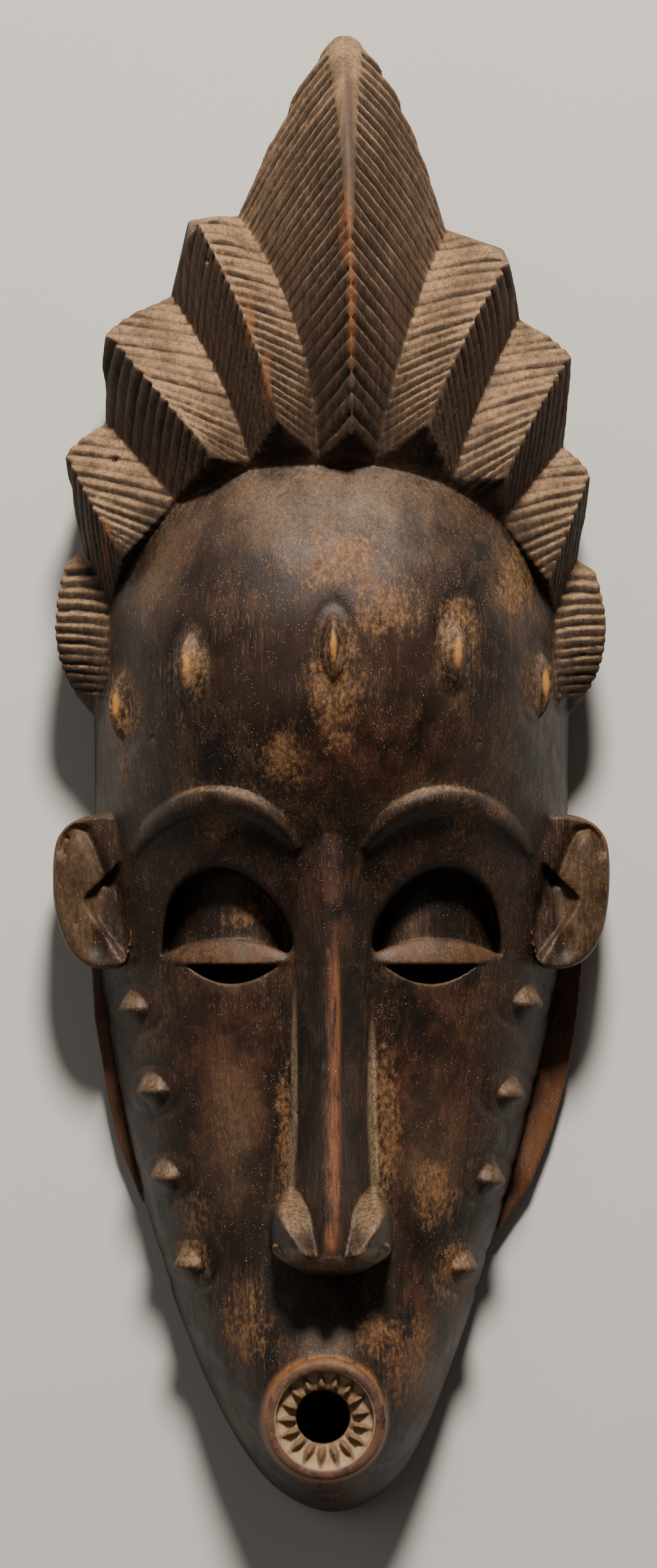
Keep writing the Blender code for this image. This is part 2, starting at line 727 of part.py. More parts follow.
def both(make):
    """The left and the right one of a thing that comes in a pair."""
    return [make(-1), make(1)]


def build():
    """Carves the mask and leaves it as the one shown object."""
    for old in list(bpy.data.objects):
        bpy.data.objects.remove(old)
    keloids = [
        almond(f"keloid_{i}", middle, "Y", along(KELOID_HALF_LENGTH), across(KELOID_HALF_BREADTH), KELOID_RISE)
        for i, middle in enumerate(KELOIDS, 1)
    ]
    bumps = [
        almond(f"bump_{i}", middle, "X", across(BUMP_HALF_LENGTH), along(BUMP_HALF_BREADTH), CHEEK_BUMP_RISE)
        for i, middle in enumerate(CHEEK_BUMPS, 1)
    ]
    upper_hollows = both(lambda side: ear_hollow(side, EAR_UPPER_HOLLOW, 1, 0.004))
    lower_hollows = both(lambda side: ear_hollow(side, EAR_LOWER_HOLLOW, 2, 0.003))

    mask = shell()
    carve(mask, together("ears", both(ear)), "UNION")
    carve(mask, together("upper_ear_hollows", upper_hollows), "DIFFERENCE")
    carve(mask, together("lower_ear_hollows", lower_hollows), "DIFFERENCE")
    carve(mask, together("collars", [collar("left"), collar("right")]), "UNION")
    carve(mask, together("brows", both(brow)), "UNION")
    carve(mask, together("keloids", keloids), "UNION")
    carve(mask, together("cheek_bumps", bumps), "UNION")
    carve(mask, mouth_tube(), "UNION")
    carve(mask, together("sockets", both(socket)), "DIFFERENCE")
    carve(mask, together("lids", both(lid)), "UNION")
    carve(mask, nose(), "UNION")
    carve(mask, together("nostrils", both(nostril)), "UNION")
    carve(mask, together("slits", both(slit)), "DIFFERENCE")
    carve(mask, mouth_cup(), "DIFFERENCE")
    carve(mask, mouth_bore(), "DIFFERENCE")
    carve(mask, together("teeth", [tooth(i) for i in range(TEETH)]), "UNION")
    carve(mask, collar_hole(), "DIFFERENCE")
    for number, row in enumerate(LOBES):
        carve(mask, lobe(number, *row), "UNION")
    carve(mask, hollow(), "DIFFERENCE")
    carve(mask, back_cut(), "DIFFERENCE")
    mask.data.materials.append(wood())
    return mask


build()
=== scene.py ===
"""The looks of a Yaure face mask: its finely carved mesh, its dry-rubbed wood, floor, light and camera.

The mask lies face up on its flat back rim: +Y runs from the chin to the crest, +Z out of the
face, and +X to the right of someone who looks at the face. The forms are laid out in carving
units: 400 units high, 151 wide and 77 deep at the nose, counted from the chin, the middle of
the face and the back rim.
"""

import json
import math

import bmesh
import bpy
import mathutils
import mathutils.kdtree
import numpy as np
from mathutils.bvhtree import BVHTree
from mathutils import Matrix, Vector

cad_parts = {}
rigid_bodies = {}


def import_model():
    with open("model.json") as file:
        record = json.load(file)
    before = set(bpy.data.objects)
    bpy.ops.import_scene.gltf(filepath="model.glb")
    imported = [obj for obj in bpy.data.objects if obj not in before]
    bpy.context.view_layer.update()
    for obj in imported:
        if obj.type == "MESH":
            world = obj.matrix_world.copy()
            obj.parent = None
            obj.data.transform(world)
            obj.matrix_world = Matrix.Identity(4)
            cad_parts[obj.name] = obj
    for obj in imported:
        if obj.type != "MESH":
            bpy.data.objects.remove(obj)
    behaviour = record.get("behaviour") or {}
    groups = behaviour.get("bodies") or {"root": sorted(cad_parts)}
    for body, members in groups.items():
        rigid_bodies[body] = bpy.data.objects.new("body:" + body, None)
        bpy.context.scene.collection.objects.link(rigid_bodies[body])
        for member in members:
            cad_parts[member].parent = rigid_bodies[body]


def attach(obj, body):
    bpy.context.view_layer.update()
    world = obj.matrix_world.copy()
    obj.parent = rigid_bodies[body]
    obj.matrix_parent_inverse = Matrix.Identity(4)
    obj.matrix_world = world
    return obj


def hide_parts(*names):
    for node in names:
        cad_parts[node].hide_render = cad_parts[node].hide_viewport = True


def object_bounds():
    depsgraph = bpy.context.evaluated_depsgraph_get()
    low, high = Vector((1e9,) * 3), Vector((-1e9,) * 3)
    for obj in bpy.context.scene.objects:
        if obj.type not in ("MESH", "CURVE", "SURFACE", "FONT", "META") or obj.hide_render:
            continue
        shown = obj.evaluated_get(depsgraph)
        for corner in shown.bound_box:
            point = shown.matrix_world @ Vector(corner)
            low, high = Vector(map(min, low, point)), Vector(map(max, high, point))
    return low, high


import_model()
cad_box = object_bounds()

# The block
HEIGHT = 0.400
WIDTH = 0.151
NOSE_DEPTH = 0.077
UNITS_HIGH = 400.0
UNITS_WIDE = 151.0
UNITS_DEEP = 77.0

# The hollow back and the rim
RIM_WIDTH = 0.0095
CREST_BACK_START = 0.268
CREST_BACK_SLOPE = 0.20
COLLAR_THICKNESS = 0.0065
COLLAR_HOLE_RADIUS = 0.0017

# The face
SOCKET_DEPTH = 0.0115
LID_RISE = 0.0015
SLIT_HEIGHT = 0.0054
SLIT_HALF_LENGTH = 0.0125
BROW_RISE = 0.0042
KELOID_RISE = 0.0042
CHEEK_BUMP_RISE = 0.0042
EAR_THICKNESS = 0.017

# The mouth
MOUTH_RADIUS = 0.0164
MOUTH_LIP = 0.0026
MOUTH_BORE_RADIUS = 0.0074
MOUTH_FRONT = 0.0635
MOUTH_CUP_DEPTH = 0.0045
TEETH = 17
TOOTH_RISE = 0.0029

# The crest
GROOVE_DEPTH = 0.0015

# How finely the forms are drawn
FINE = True
SHELL_ROWS = 150
SHELL_COLUMNS = 110
ROUND_SIDES = 120
GROOVE_SAMPLES = 10 if FINE else 8
VOXEL = 0.00040 if FINE else 0.00060
TRIANGLES = 194000 if FINE else 160000
HOLLOW_ROWS = 60
HOLLOW_COLUMNS = 60
ALMOND_ROWS = 24
ALMOND_COLUMNS = 16

# What counts as unseen, in units: this far under the face, and this close to the rim's plane
THINNEST_WALL = 6
RIM_NEAR = 0.3
# How the mesh is thinned: how strongly seen points are spared, and their weight against 1 for unseen ones
THINNING = 2e-6
SEEN_SHARE = 0.05

# The rays that find what shelters a point: how many, how many points share them out, and their reaches
RAYS = 12
RAY_SHARE = 3
GOLDEN_ANGLE = 2.399963
RAY_START = 0.0003
FAR_REACH = 0.016
NEAR_REACH = 0.004

# How far the helpers reach under the face and past the wood, so that they join and cut cleanly
BURIED = 0.008
BELOW = 0.006
ABOVE = 0.120
# The height of the cone that closes a bent end, as a share of the end's reach
CONE_SHARE = 0.15

# The picture: how high the camera hangs, and half of what it takes in at the face's middle height
CAMERA_HEIGHT = 8.0
HALF_VIEW = 0.2119
FACE_MIDDLE = 0.05


def across(units):
    """A length across the face, in metres."""
    return units * WIDTH / UNITS_WIDE


def along(units):
    """A length up the face, in metres."""
    return units * HEIGHT / UNITS_HIGH


def outward(units):
    """A length out of the face, in metres."""
    return units * NOSE_DEPTH / UNITS_DEEP


def place(x, y, z=0.0):
    """A point of the carving, from units to metres, with the middle of the height at Y 0."""
    return np.array([across(x), along(y - UNITS_HIGH / 2), outward(z)])


def smooth_through(pairs):
    """A smooth curve through (place, value) pairs, flat where the pairs turn."""
    places = np.array([p for p, _ in pairs], float)
    values = np.array([v for _, v in pairs], float)
    steps = np.diff(values) / np.diff(places)
    slopes = np.zeros(len(pairs))
    slopes[0], slopes[-1] = steps[0], steps[-1]
    both = steps[:-1] * steps[1:] > 0
    slopes[1:-1][both] = (2 * steps[:-1] * steps[1:] / (steps[:-1] + steps[1:] + 1e-12))[both]

    def value(at):
        """The curve's value at one place."""
        at = min(max(at, places[0]), places[-1])
        i = min(int(np.searchsorted(places, at, "right")) - 1, len(pairs) - 2)
        width = places[i + 1] - places[i]
        t = (at - places[i]) / width
        return float(
            (1 + 2 * t) * (1 - t) ** 2 * values[i]
            + t * (1 - t) ** 2 * width * slopes[i]
            + t * t * (3 - 2 * t) * values[i + 1]
            - t * t * (1 - t) * width * slopes[i + 1]
        )

    return value


# The free form of the face, in units by height above the chin
half_width = smooth_through(
    (
        (0.0, 2.4), (0.5, 4.8), (1.5, 7.6), (3.1, 10.8), (5.5, 14.2), (8.1, 17.0), (13, 21),
        (22, 26.4), (33, 31.5), (43, 35.5), (57, 40.5), (72, 45),
        (84, 49), (100, 53), (117, 57), (131, 59.8), (146, 62.2), (165, 63.6), (190, 64.3),
        (216, 64.5), (240, 64), (260, 61), (278, 55), (294, 46), (307, 35), (316, 21),
    )
)
face_depth = smooth_through(
    (
        (0.0, 9), (4, 22), (10, 33), (20, 42), (33, 47), (50, 48.5), (70, 47.5), (90, 49),
        (115, 52), (140, 55.5), (160, 60), (176, 66.5), (190, 74), (205, 80.5), (222, 85),
        (238, 86), (254, 83), (270, 75), (284, 64), (298, 48), (310, 28), (316, 14),
    )
)
hollow_depth = smooth_through(
    (
        (13, 16), (22, 28), (40, 35), (70, 36), (110, 36), (150, 36), (172, 42), (190, 52),
        (210, 64), (228, 70), (245, 68), (258, 58), (268, 42),
    )
)
axis_shift = smooth_through(
    ((0, 0.5), (10, 0), (28, -1), (57, -1.9), (72, -2), (100, -1.6), (146, -0.5), (200, 0), (320, 0))
)
HEAD_TOP = 316
HOLLOW_FOOT = 13
HOLLOW_TOP = 268
ROUNDNESS = 2.35
MOUTH_PLACE = (-1.8, 25.9)
BORE_PLACE = (-2.3, 26.7)
MOUND_RISE = 11.5
MOUND_SPREAD = 18.0


def mound(x, y):
    """How far the flesh round the mouth stands out of the face, in units."""
    apart = math.hypot(x - MOUTH_PLACE[0], (y - MOUTH_PLACE[1] - 3.0) * 0.9)
    return MOUND_RISE * math.exp(-((apart / MOUND_SPREAD) ** 2) / 2)


def face_height(x, y):
    """The height of the plain face over (x, y), in units."""
    share = min(abs(x - axis_shift(y)) / half_width(y), 0.995)
    curve = (1 - share**ROUNDNESS) ** (1 / ROUNDNESS)
    return curve * (face_depth(y) + mound(x, y))


def between(low, high, value):
    """0 below low, 1 above high, and a smooth rise from one to the other."""
    t = np.clip((np.asarray(value, float) - low) / (high - low), 0, 1)
    return t * t * (3 - 2 * t)


def speckle(points, size, seed):
    """Smooth random values from -1 to 1 at these points, in cells of this size.

    Each cell's corner gets its value from its own number and the seed, so every run gives the same.
    """
    scaled = np.asarray(points, float) / np.asarray(size, float) + 1000.0
    cell = np.floor(scaled).astype(np.int64)
    inside = scaled - cell
    inside = inside * inside * (3 - 2 * inside)
    total = np.zeros(len(scaled))
    for corner in range(8):
        step = np.array([corner & 1, (corner >> 1) & 1, (corner >> 2) & 1])
        at = cell + step
        mixed = (at[:, 0] * 73856093) ^ (at[:, 1] * 19349663) ^ (at[:, 2] * 83492791) ^ (seed * 2654435)
        mixed = (mixed ^ (mixed >> 13)) * 1274126177 & 0xFFFFFFFF
        mixed = (mixed ^ (mixed >> 16)) & 0xFFFF
        weight = np.prod(np.where(step, inside, 1 - inside), axis=1)
        total += weight * (mixed / 32767.5 - 1)
    return total


def mesh_of(name, points, faces):
    """An object of these points and faces, facing out."""
    mesh = bpy.data.meshes.new(name)
    mesh.from_pydata([tuple(p) for p in points], [], faces)
    shape = bmesh.new()
    shape.from_mesh(mesh)
    bmesh.ops.remove_doubles(shape, verts=shape.verts, dist=1e-6)
    bmesh.ops.triangulate(shape, faces=shape.faces)
    bmesh.ops.recalc_face_normals(shape, faces=shape.faces)
    shape.to_mesh(mesh)
    shape.free()
    made = bpy.data.objects.new(name, mesh)
    bpy.context.scene.collection.objects.link(made)
    return made


def loft(name, rings):
    """A closed solid through rings of equally many points; an end that isn't flat gets a low cone."""
    count = len(rings[0])
    points = [p for ring in rings for p in ring]
    faces = []
    for ring, inner, first in ((rings[0], rings[1], 0), (rings[-1], rings[-2], len(points) - count)):
        hub = np.mean(ring, axis=0)
        if np.linalg.svd(np.array(ring) - hub)[1][2] < 1e-6:
            faces.append([first + i for i in range(count)])
        else:
            out = hub - np.mean(inner, axis=0)
            reach = max(np.linalg.norm(point - hub) for point in ring)
            hub = hub + out * CONE_SHARE * reach / np.linalg.norm(out)
            faces += [(first + i, first + (i + 1) % count, len(points)) for i in range(count)]
            points.append(hub)
    for row in range(len(rings) - 1):
        low, high = row * count, (row + 1) * count
        for i in range(count):
            j = (i + 1) % count
            faces.append((low + i, low + j, high + j, high + i))
    return mesh_of(name, points, faces)


def together(name, pieces):
    """One helper out of several that do not touch."""
    points, faces = [], []
    for piece in pieces:
        first = len(points)
        points += [vertex.co.copy() for vertex in piece.data.vertices]
        faces += [[first + i for i in face.vertices] for face in piece.data.polygons]
        bpy.data.objects.remove(piece)
    return mesh_of(name, points, faces)


def carve(target, tool, operation):
    """Joins the tool to the target or cuts it away."""
    step = target.modifiers.new(tool.name, "BOOLEAN")
    step.operation = operation
    step.solver = "MANIFOLD"
    step.object = tool
    tool.hide_render = True
    tool.hide_viewport = True


def spread(low, high, count):
    """Places from low to high, closer together at both ends."""
    return [low + (high - low) * (1 - math.cos(math.pi * i / (count - 1))) / 2 for i in range(count)]


def shell():
    """The plain head, solid, from the chin to under the crest."""
    rings = []
    for y in spread(0.0, HEAD_TOP, SHELL_ROWS):
        ring = [place(half_width(y) + axis_shift(y), y) - np.array([0, 0, BELOW])]
        for i in range(SHELL_COLUMNS + 1):
            angle = math.pi * i / SHELL_COLUMNS
            cosine = math.cos(angle)
            x = axis_shift(y) + half_width(y) * math.copysign(abs(cosine) ** (2 / ROUNDNESS), cosine)
            z = (face_depth(y) + mound(x, y)) * abs(math.sin(angle)) ** (2 / ROUNDNESS)
            ring.append(place(x, y, z))
        ring.append(place(axis_shift(y) - half_width(y), y) - np.array([0, 0, BELOW]))
        rings.append(ring)
    return loft("mask_shell", rings)


def hollow():
    """The space behind the face."""
    rings = []
    for y in spread(HOLLOW_FOOT, HOLLOW_TOP, HOLLOW_ROWS):
        wide = across(half_width(y)) - RIM_WIDTH
        deep = outward(hollow_depth(y))
        ring = []
        for i in range(HOLLOW_COLUMNS + 1):
            angle = math.pi * i / HOLLOW_COLUMNS
            cosine = math.cos(angle)
            x = wide * math.copysign(abs(cosine) ** (2 / ROUNDNESS), cosine)
            ring.append(place(axis_shift(y), y) + np.array([x, 0, deep * abs(math.sin(angle)) ** 0.85]))
        ring.insert(0, ring[0] - np.array([0, 0, 2 * BELOW]))
        ring.append(ring[-1] - np.array([0, 0, 2 * BELOW]))
        rings.append(ring)
    return loft("hollow_back", rings)


def back_cut():
    """Everything behind the rim's plane, and behind the crest's sloping back."""
    far = 2 * HEIGHT
    start = CREST_BACK_START - HEIGHT / 2
    profile = [(-far, -far), (-far, 0.0), (start, 0.0), (far, (far - start) * CREST_BACK_SLOPE), (far, -far)]
    return loft("back_cut", [[np.array([x, y, z]) for y, z in profile] for x in (-WIDTH, WIDTH)])


def bent(start, bend, end):
    """A curve from start to end that leans towards bend, as a function of the share along it."""
    start, bend, end = (np.array(p, float) for p in (start, bend, end))
    return lambda s: (1 - s) ** 2 * start + 2 * s * (1 - s) * bend + s * s * end


# Each lobe of the crest: its ridge and its two valleys, each as start, bend and end in units,
# and the number of grooves along it. A lobe overlaps its neighbours at the valleys.
VALLEY_1 = ((-3.7, 285.3, 66), (-5.0, 324, 74), (-25.2, 351.1, 42))
VALLEY_2 = ((-22.2, 284.5, 64), (-27.6, 306.3, 62), (-43.2, 329.5, 36))
VALLEY_3 = ((-42.3, 274.4, 57), (-49.0, 282.0, 52), (-61.0, 295.5, 30))
VALLEY_4 = ((-60.6, 244.5, 34), (-62.5, 249.0, 30), (-66.0, 255.0, 20))
VALLEY_5 = ((-64.5, 217.0, 10), (-71.5, 232.0, 8), (-67.0, 258.0, 6))
VALLEY_INNER_5 = ((-59.5, 219.0, 38), (-58.5, 236.0, 42), (-59.5, 254.0, 33))
VALLEY_6 = ((12.0, 285.8, 66), (18.5, 318, 74), (30.6, 347.5, 42))
VALLEY_7 = ((33.0, 280.0, 63), (38.5, 300.0, 60), (50.8, 323.5, 36))
VALLEY_8 = ((46.5, 268.5, 55), (52.5, 277.0, 50), (62.8, 289.0, 30))
VALLEY_9 = ((61.0, 242.5, 33), (62.5, 248.0, 29), (66.0, 253.0, 20))
VALLEY_10 = ((64.5, 217.0, 10), (71.0, 230.0, 8), (67.0, 256.0, 6))
VALLEY_INNER_10 = ((60.0, 218.5, 37), (59.0, 235.0, 41), (60.0, 252.0, 32))
LOBES = (
    ("lobe_middle", ((5.5, 291.5, 79), (5.4, 363, 92), (2.8, 401.2, 42)), VALLEY_1, VALLEY_6, 30),
    ("lobe_right_1", ((26.0, 294.0, 76), (34.0, 316, 80), (47.9, 338.8, 52)), VALLEY_6, VALLEY_7, 17),
    ("lobe_right_2", ((47.2, 280.0, 66), (55.5, 299, 67), (65.0, 313.5, 42)), VALLEY_7, VALLEY_8, 12),
    ("lobe_right_3", ((58.8, 252.0, 52), (65.5, 268, 54), (70.2, 281.5, 36)), VALLEY_8, VALLEY_9, 10),
    ("lobe_right_4", ((69.5, 222, 28), (78.5, 236, 38), (72.0, 255.0, 26)), VALLEY_INNER_10, VALLEY_10, 12),
    ("lobe_left_1", ((-14.6, 296.0, 77), (-20.3, 320.5, 82), (-36.0, 349.0, 54)), VALLEY_1, VALLEY_2, 20),
    ("lobe_left_2", ((-31.9, 285.5, 73), (-44.0, 300.5, 76), (-61.0, 319.4, 46)), VALLEY_2, VALLEY_3, 13),
    ("lobe_left_3", ((-56.5, 258.5, 56), (-64.0, 270.0, 58), (-72.2, 286.8, 36)), VALLEY_3, VALLEY_4, 11),
    ("lobe_left_4", ((-70, 222.5, 28), (-79, 236, 38), (-72.5, 257.0, 26)), VALLEY_INNER_5, VALLEY_5, 12),
)
# Shares of the way from the ridge to the valley where a flank has points, close together at the ridge
NEAR_RIDGE = (0.012, 0.025, 0.04, 0.06, 0.09, 0.12, 0.16)
FLANK_PLACES = np.array(NEAR_RIDGE + tuple(0.16 + 0.97 * i / 36 for i in range(1, 37)))
BOW_ALONG_FLANK = smooth_through(((0.0, 0.0), (0.09, 0.33), (0.47, 1.0), (0.8, 0.55), (1.13, 0.0)))
BOW_SHARE = 0.095
FOOT_SUNK = 0.003
VALLEY_LAP = 0.0007
# A groove, over the share from one to the next: a steep wall that faces up, and a gentle one
GROOVE_SHAPE = ((0.0, 0.15, 0.56, 1.0), (0.0, 1.0, 0.0, 0.0))
# How steeply the barbs fall from the ridge, in degrees below level, at the lobe's foot and tip
INNER_FALL = (38.0, 8.0)
OUTER_FALL = (80.0, 83.0)
MIDDLE_FALL = (50.0, 57.0)
LOWEST_FALL = (5.0, 5.0)
# Points on the flanks with the depth of the grooves there, as a share
BARBS = []
RIDGE_ROUND = 0.0007
RIDGE_REACH = 0.0026
# The tall middle lobe swells outward, level, in its upper half: shares of its flanks' lengths
MIDDLE_BOWS = (0.052, 0.092)
MIDDLE_BOW_ALONG_FLANK = smooth_through(
    (
        (0.0, 0.0), (0.07, 0.53), (0.2, 0.87), (0.33, 1.0), (0.46, 0.93), (0.6, 0.82), (0.75, 0.6),
        (1.0, 0.12), (1.13, 0.0),
    )
)


def barb_starts(ridge, fall, side):
    """A function that tells, for points of a flank, where along the ridge their barbs start."""
    steps = np.linspace(-0.8, 1.8, 131)
    inside = np.clip(steps, 0, 1)
    tip_run, foot_run = (ridge(1.0) - ridge(0.98)) / 0.02, (ridge(0.02) - ridge(0.0)) / 0.02
    beyond = np.where(steps[:, None] > 1, tip_run, foot_run) * (steps - inside)[:, None]
    on = np.array([ridge(s) for s in inside]) + beyond
    falls = np.radians(np.interp(steps, (0, 1), fall))
    way = np.stack([side * np.cos(falls), -np.sin(falls)], 1)

    def starts(points, about):
        """Where along the ridge the barb through each point starts, nearest to the share about."""
        apart = (points[:, :1] - on[:, 0]) * way[:, 1] - (points[:, 1:2] - on[:, 1]) * way[:, 0]
        crossing = apart[:, :-1] * apart[:, 1:] <= 0
        away = np.where(crossing, np.abs(steps[:-1] - about), 9.0)
        first = np.argmin(away, axis=1)
        rows = np.arange(len(points))
        low, high = apart[rows, first], apart[rows, first + 1]
        exact = steps[first] + (steps[1] - steps[0]) * low / (low - high + 1e-12)
        return np.where(crossing.any(axis=1), exact, about)

    return starts


def flank(ridge, valley, other, grooves, lap, seed, level_bow, fall):
    """Rows of points from the ridge to just past the valley, with cut grooves between the barbs."""
    rows = []
    count = grooves * GROOVE_SAMPLES
    bows = np.array([(MIDDLE_BOW_ALONG_FLANK if level_bow else BOW_ALONG_FLANK)(c) for c in FLANK_PLACES])
    starts = barb_starts(ridge, fall, math.copysign(1, valley(0.5)[0] - ridge(0.5)[0]))
    for step in range(count + 1):
        s = step / count
        top, foot = place(*ridge(s)), place(*valley(s))
        run = place(*ridge(min(s + 0.02, 1))) - place(*ridge(max(s - 0.02, 0)))
        normal = np.cross(run, foot - top)
        normal /= np.linalg.norm(normal)
        if normal @ (place(*other(s)) - top) < 0:
            normal = -normal
        bow = np.cross(normal, foot - top)
        bow *= math.copysign(BOW_SHARE * s * s, bow @ run)
        if level_bow:
            level = foot - top
            bow = np.array([abs(level[1]) * math.copysign(1, level[0]), abs(level[0]), 0]) * level_bow * s**3
        plain = (ridge(s) + (valley(s) - ridge(s)) * FLANK_PLACES[:, None])[:, :2]
        share = starts(plain, s)
        if level_bow:
            share = (share + 0.25 * share * share) / 1.25
        phase = share * grooves
        number = np.floor(phase)
        # The barbs are cut by hand, so each wanders a little
        phase = phase + 0.05 * np.sin(3.1 * FLANK_PLACES + 1.7 * number + seed)
        phase = phase + 0.03 * np.sin(11.0 * FLANK_PLACES + 2.9 * number + 2 * seed)
        cut = np.interp(phase - np.floor(phase), *GROOVE_SHAPE)
        smooth_edge = 0.085 * float(between(0.36, 0.52, s)) if level_bow else 0.0
        fade = between(smooth_edge, smooth_edge + 0.035, FLANK_PLACES)
        fade = fade * np.interp(FLANK_PLACES, (0.45, 0.85), (1.0, 0.10 if level_bow and s > 0.45 else 0.4))
        slip = 0.85 + 0.22 * np.sin(2.3 * number + seed)
        points = top + (foot - top) * FLANK_PLACES[:, None]
        points = points + normal * (GROOVE_DEPTH * cut * fade * slip)[:, None] + bow * bows[:, None]
        away = FLANK_PLACES * np.linalg.norm(foot - top)
        points[:, 2] -= RIDGE_ROUND * np.clip(1 - away / RIDGE_REACH, 0, 1) ** 2
        BARBS.append((points.copy(), cut * between(smooth_edge, smooth_edge + 0.035, FLANK_PLACES) * slip))
        points[-1] += (0, 0, lap)
        rows.append([top - (0, 0, RIDGE_ROUND)] + list(points))
    return rows


def lobe(number, name, ridge, first, second, grooves):
    """One roof-shaped lobe of the crest, grooved on both flanks, as a closed solid."""
    below = BELOW * (1.1 + 0.1 * number)
    curve, near, far = bent(*ridge), bent(*first), bent(*second)
    bows = (0.0, 0.0) if number else MIDDLE_BOWS
    lowest = first[0][2] > 3 * second[0][2]
    inner_fall = LOWEST_FALL if lowest else INNER_FALL
    outer_fall = LOWEST_FALL if lowest else OUTER_FALL
    if not number:
        inner_fall = outer_fall = MIDDLE_FALL
    one = flank(curve, near, far, grooves, VALLEY_LAP if number else 0.0, number, bows[0], inner_fall)
    two = flank(curve, far, near, grooves, 0.0, number + 0.5, bows[1], outer_fall)
    rings = []
    for left, right in zip(one, two):
        ring = left[::-1] + right[1:]
        low_end = ring[-1] * (1, 1, 0) - (0, 0, below)
        low_start = ring[0] * (1, 1, 0) - (0, 0, below)
        rings.append(ring + [low_end, low_start])
    if lowest:
        return loft(name, rings)
    start, end = rings[0][0], rings[0][-3]
    side = end - start
    inward = (place(*curve(0.0)) - place(*curve(0.1))) * (1, 1, 0)
    sunk = inward * FOOT_SUNK / np.linalg.norm(inward) - (0, 0, FOOT_SUNK)
    foot = [start + side * (side @ (point - start)) / (side @ side) + sunk for point in rings[0][:-2]]
    foot += [foot[-1] * (1, 1, 0) - (0, 0, below), foot[0] * (1, 1, 0) - (0, 0, below)]
    return loft(name, [foot] + rings)


def almond(name, middle, along_it, half_length, half_breadth, rise, fullness):
    """A raised almond with a ridge down its length, standing on the face.

    The lower the fullness, the longer the ridge keeps its height towards its ends.
    """
    x, y = middle
    step = 0.5
    at = place(x, y, face_height(x, y))
    slope_x = place(x + step, y, face_height(x + step, y)) - place(x - step, y, face_height(x - step, y))
    slope_y = place(x, y + step, face_height(x, y + step)) - place(x, y - step, face_height(x, y - step))
    normal = np.cross(slope_x, slope_y)
    normal /= np.linalg.norm(normal)
    long_way = slope_y if along_it == "Y" else slope_x
    long_way = long_way / np.linalg.norm(long_way)
    short_way = np.cross(normal, long_way)
    rings = []
    for i in range(ALMOND_ROWS + 1):
        share = -0.985 + 1.97 * i / ALMOND_ROWS
        middle_point = at + long_way * half_length * share
        breadth = half_breadth * (1 - share * share) ** 0.8
        height = rise * (1 - share * share) ** fullness
        ring = []
        for j in range(ALMOND_COLUMNS + 1):
            side = -1.2 + 2.4 * j / ALMOND_COLUMNS
            lift = height * (1 - abs(side) ** 1.08) if abs(side) < 1 else -BURIED * 2.0 * (abs(side) - 1)
            ring.append(middle_point + short_way * breadth * side + normal * lift)
        rings.append(ring)
    return loft(name, rings)


KELOIDS = ((0.5, 234.5), (-38.0, 229.5), (33.2, 232.8), (-56.6, 218.5), (56.3, 224.5))
KELOID_HALF_LENGTH = 9.3
KELOID_HALF_BREADTH = 4.1
KELOID_FULLNESS = 0.7
CHEEK_BUMPS = (
    (-53.3, 136.9), (-48.2, 114.7), (-44.6, 91.3), (-38.4, 67.5),
    (52.6, 138.4), (48.2, 113.6), (42.6, 90.5), (35.6, 66.6),
)
BUMP_HALF_LENGTH = 6.1
BUMP_HALF_BREADTH = 5.3
BUMP_FULLNESS = 0.42

# The arc of a brow: its middle and radius in units, and where it starts and how far it turns, in degrees
BROW_MIDDLE = (31.2, 172.8)
BROW_RADIUS = 24.4
BROW_START = 14
BROW_TURN = 148
BROW_LIFT = smooth_through(
    ((-0.15, -1.6), (0.0, 0.0), (0.24, 0.78), (0.46, 1.0), (0.72, 0.85), (0.95, 0.2), (1.1, -1.6))
)


def brow(side):
    """A rounded brow that follows an arc over the eye and thins to both ends."""
    middle_x, middle_y, radius = BROW_MIDDLE[0] * side, BROW_MIDDLE[1], BROW_RADIUS
    rings = []
    stations = 60
    for i in range(stations):
        share = i / (stations - 1)
        angle = math.radians(BROW_START + BROW_TURN * share)
        taper = math.sin(math.pi * min(max(share, 0.02), 0.98)) ** 0.6
        breadth = 1.6 + 6.6 * taper
        rise = BROW_RISE * (0.25 + 0.75 * taper)
        ring = []
        for j in range(21):
            inward = -0.15 + 1.25 * j / 20
            from_middle = radius - inward * breadth
            x = middle_x + side * from_middle * math.cos(angle)
            y = middle_y + from_middle * math.sin(angle)
            ring.append(place(x, y, face_height(x, y)) + np.array([0, 0, rise * BROW_LIFT(inward)]))
        rings.append(ring)
    return loft(f"brow_{'right' if side > 0 else 'left'}", rings)


# Down the nose: place, half the ridge, half the base and height, in units
NOSE_STATIONS = (
    (193, 3.4, 8.0, 69.0), (183, 3.2, 8.4, 70.9), (170, 2.5, 9.0, 70.9), (152, 2.2, 10.2, 71.0),
    (125, 2.3, 10.7, 72.0), (102, 2.5, 11.3, 74.0), (88, 2.7, 12.0, 75.6), (80, 2.6, 12.0, 76.6),
    (73.9, 2.4, 12.0, 77.0), (71.6, 2.4, 12.0, 68.5),
)
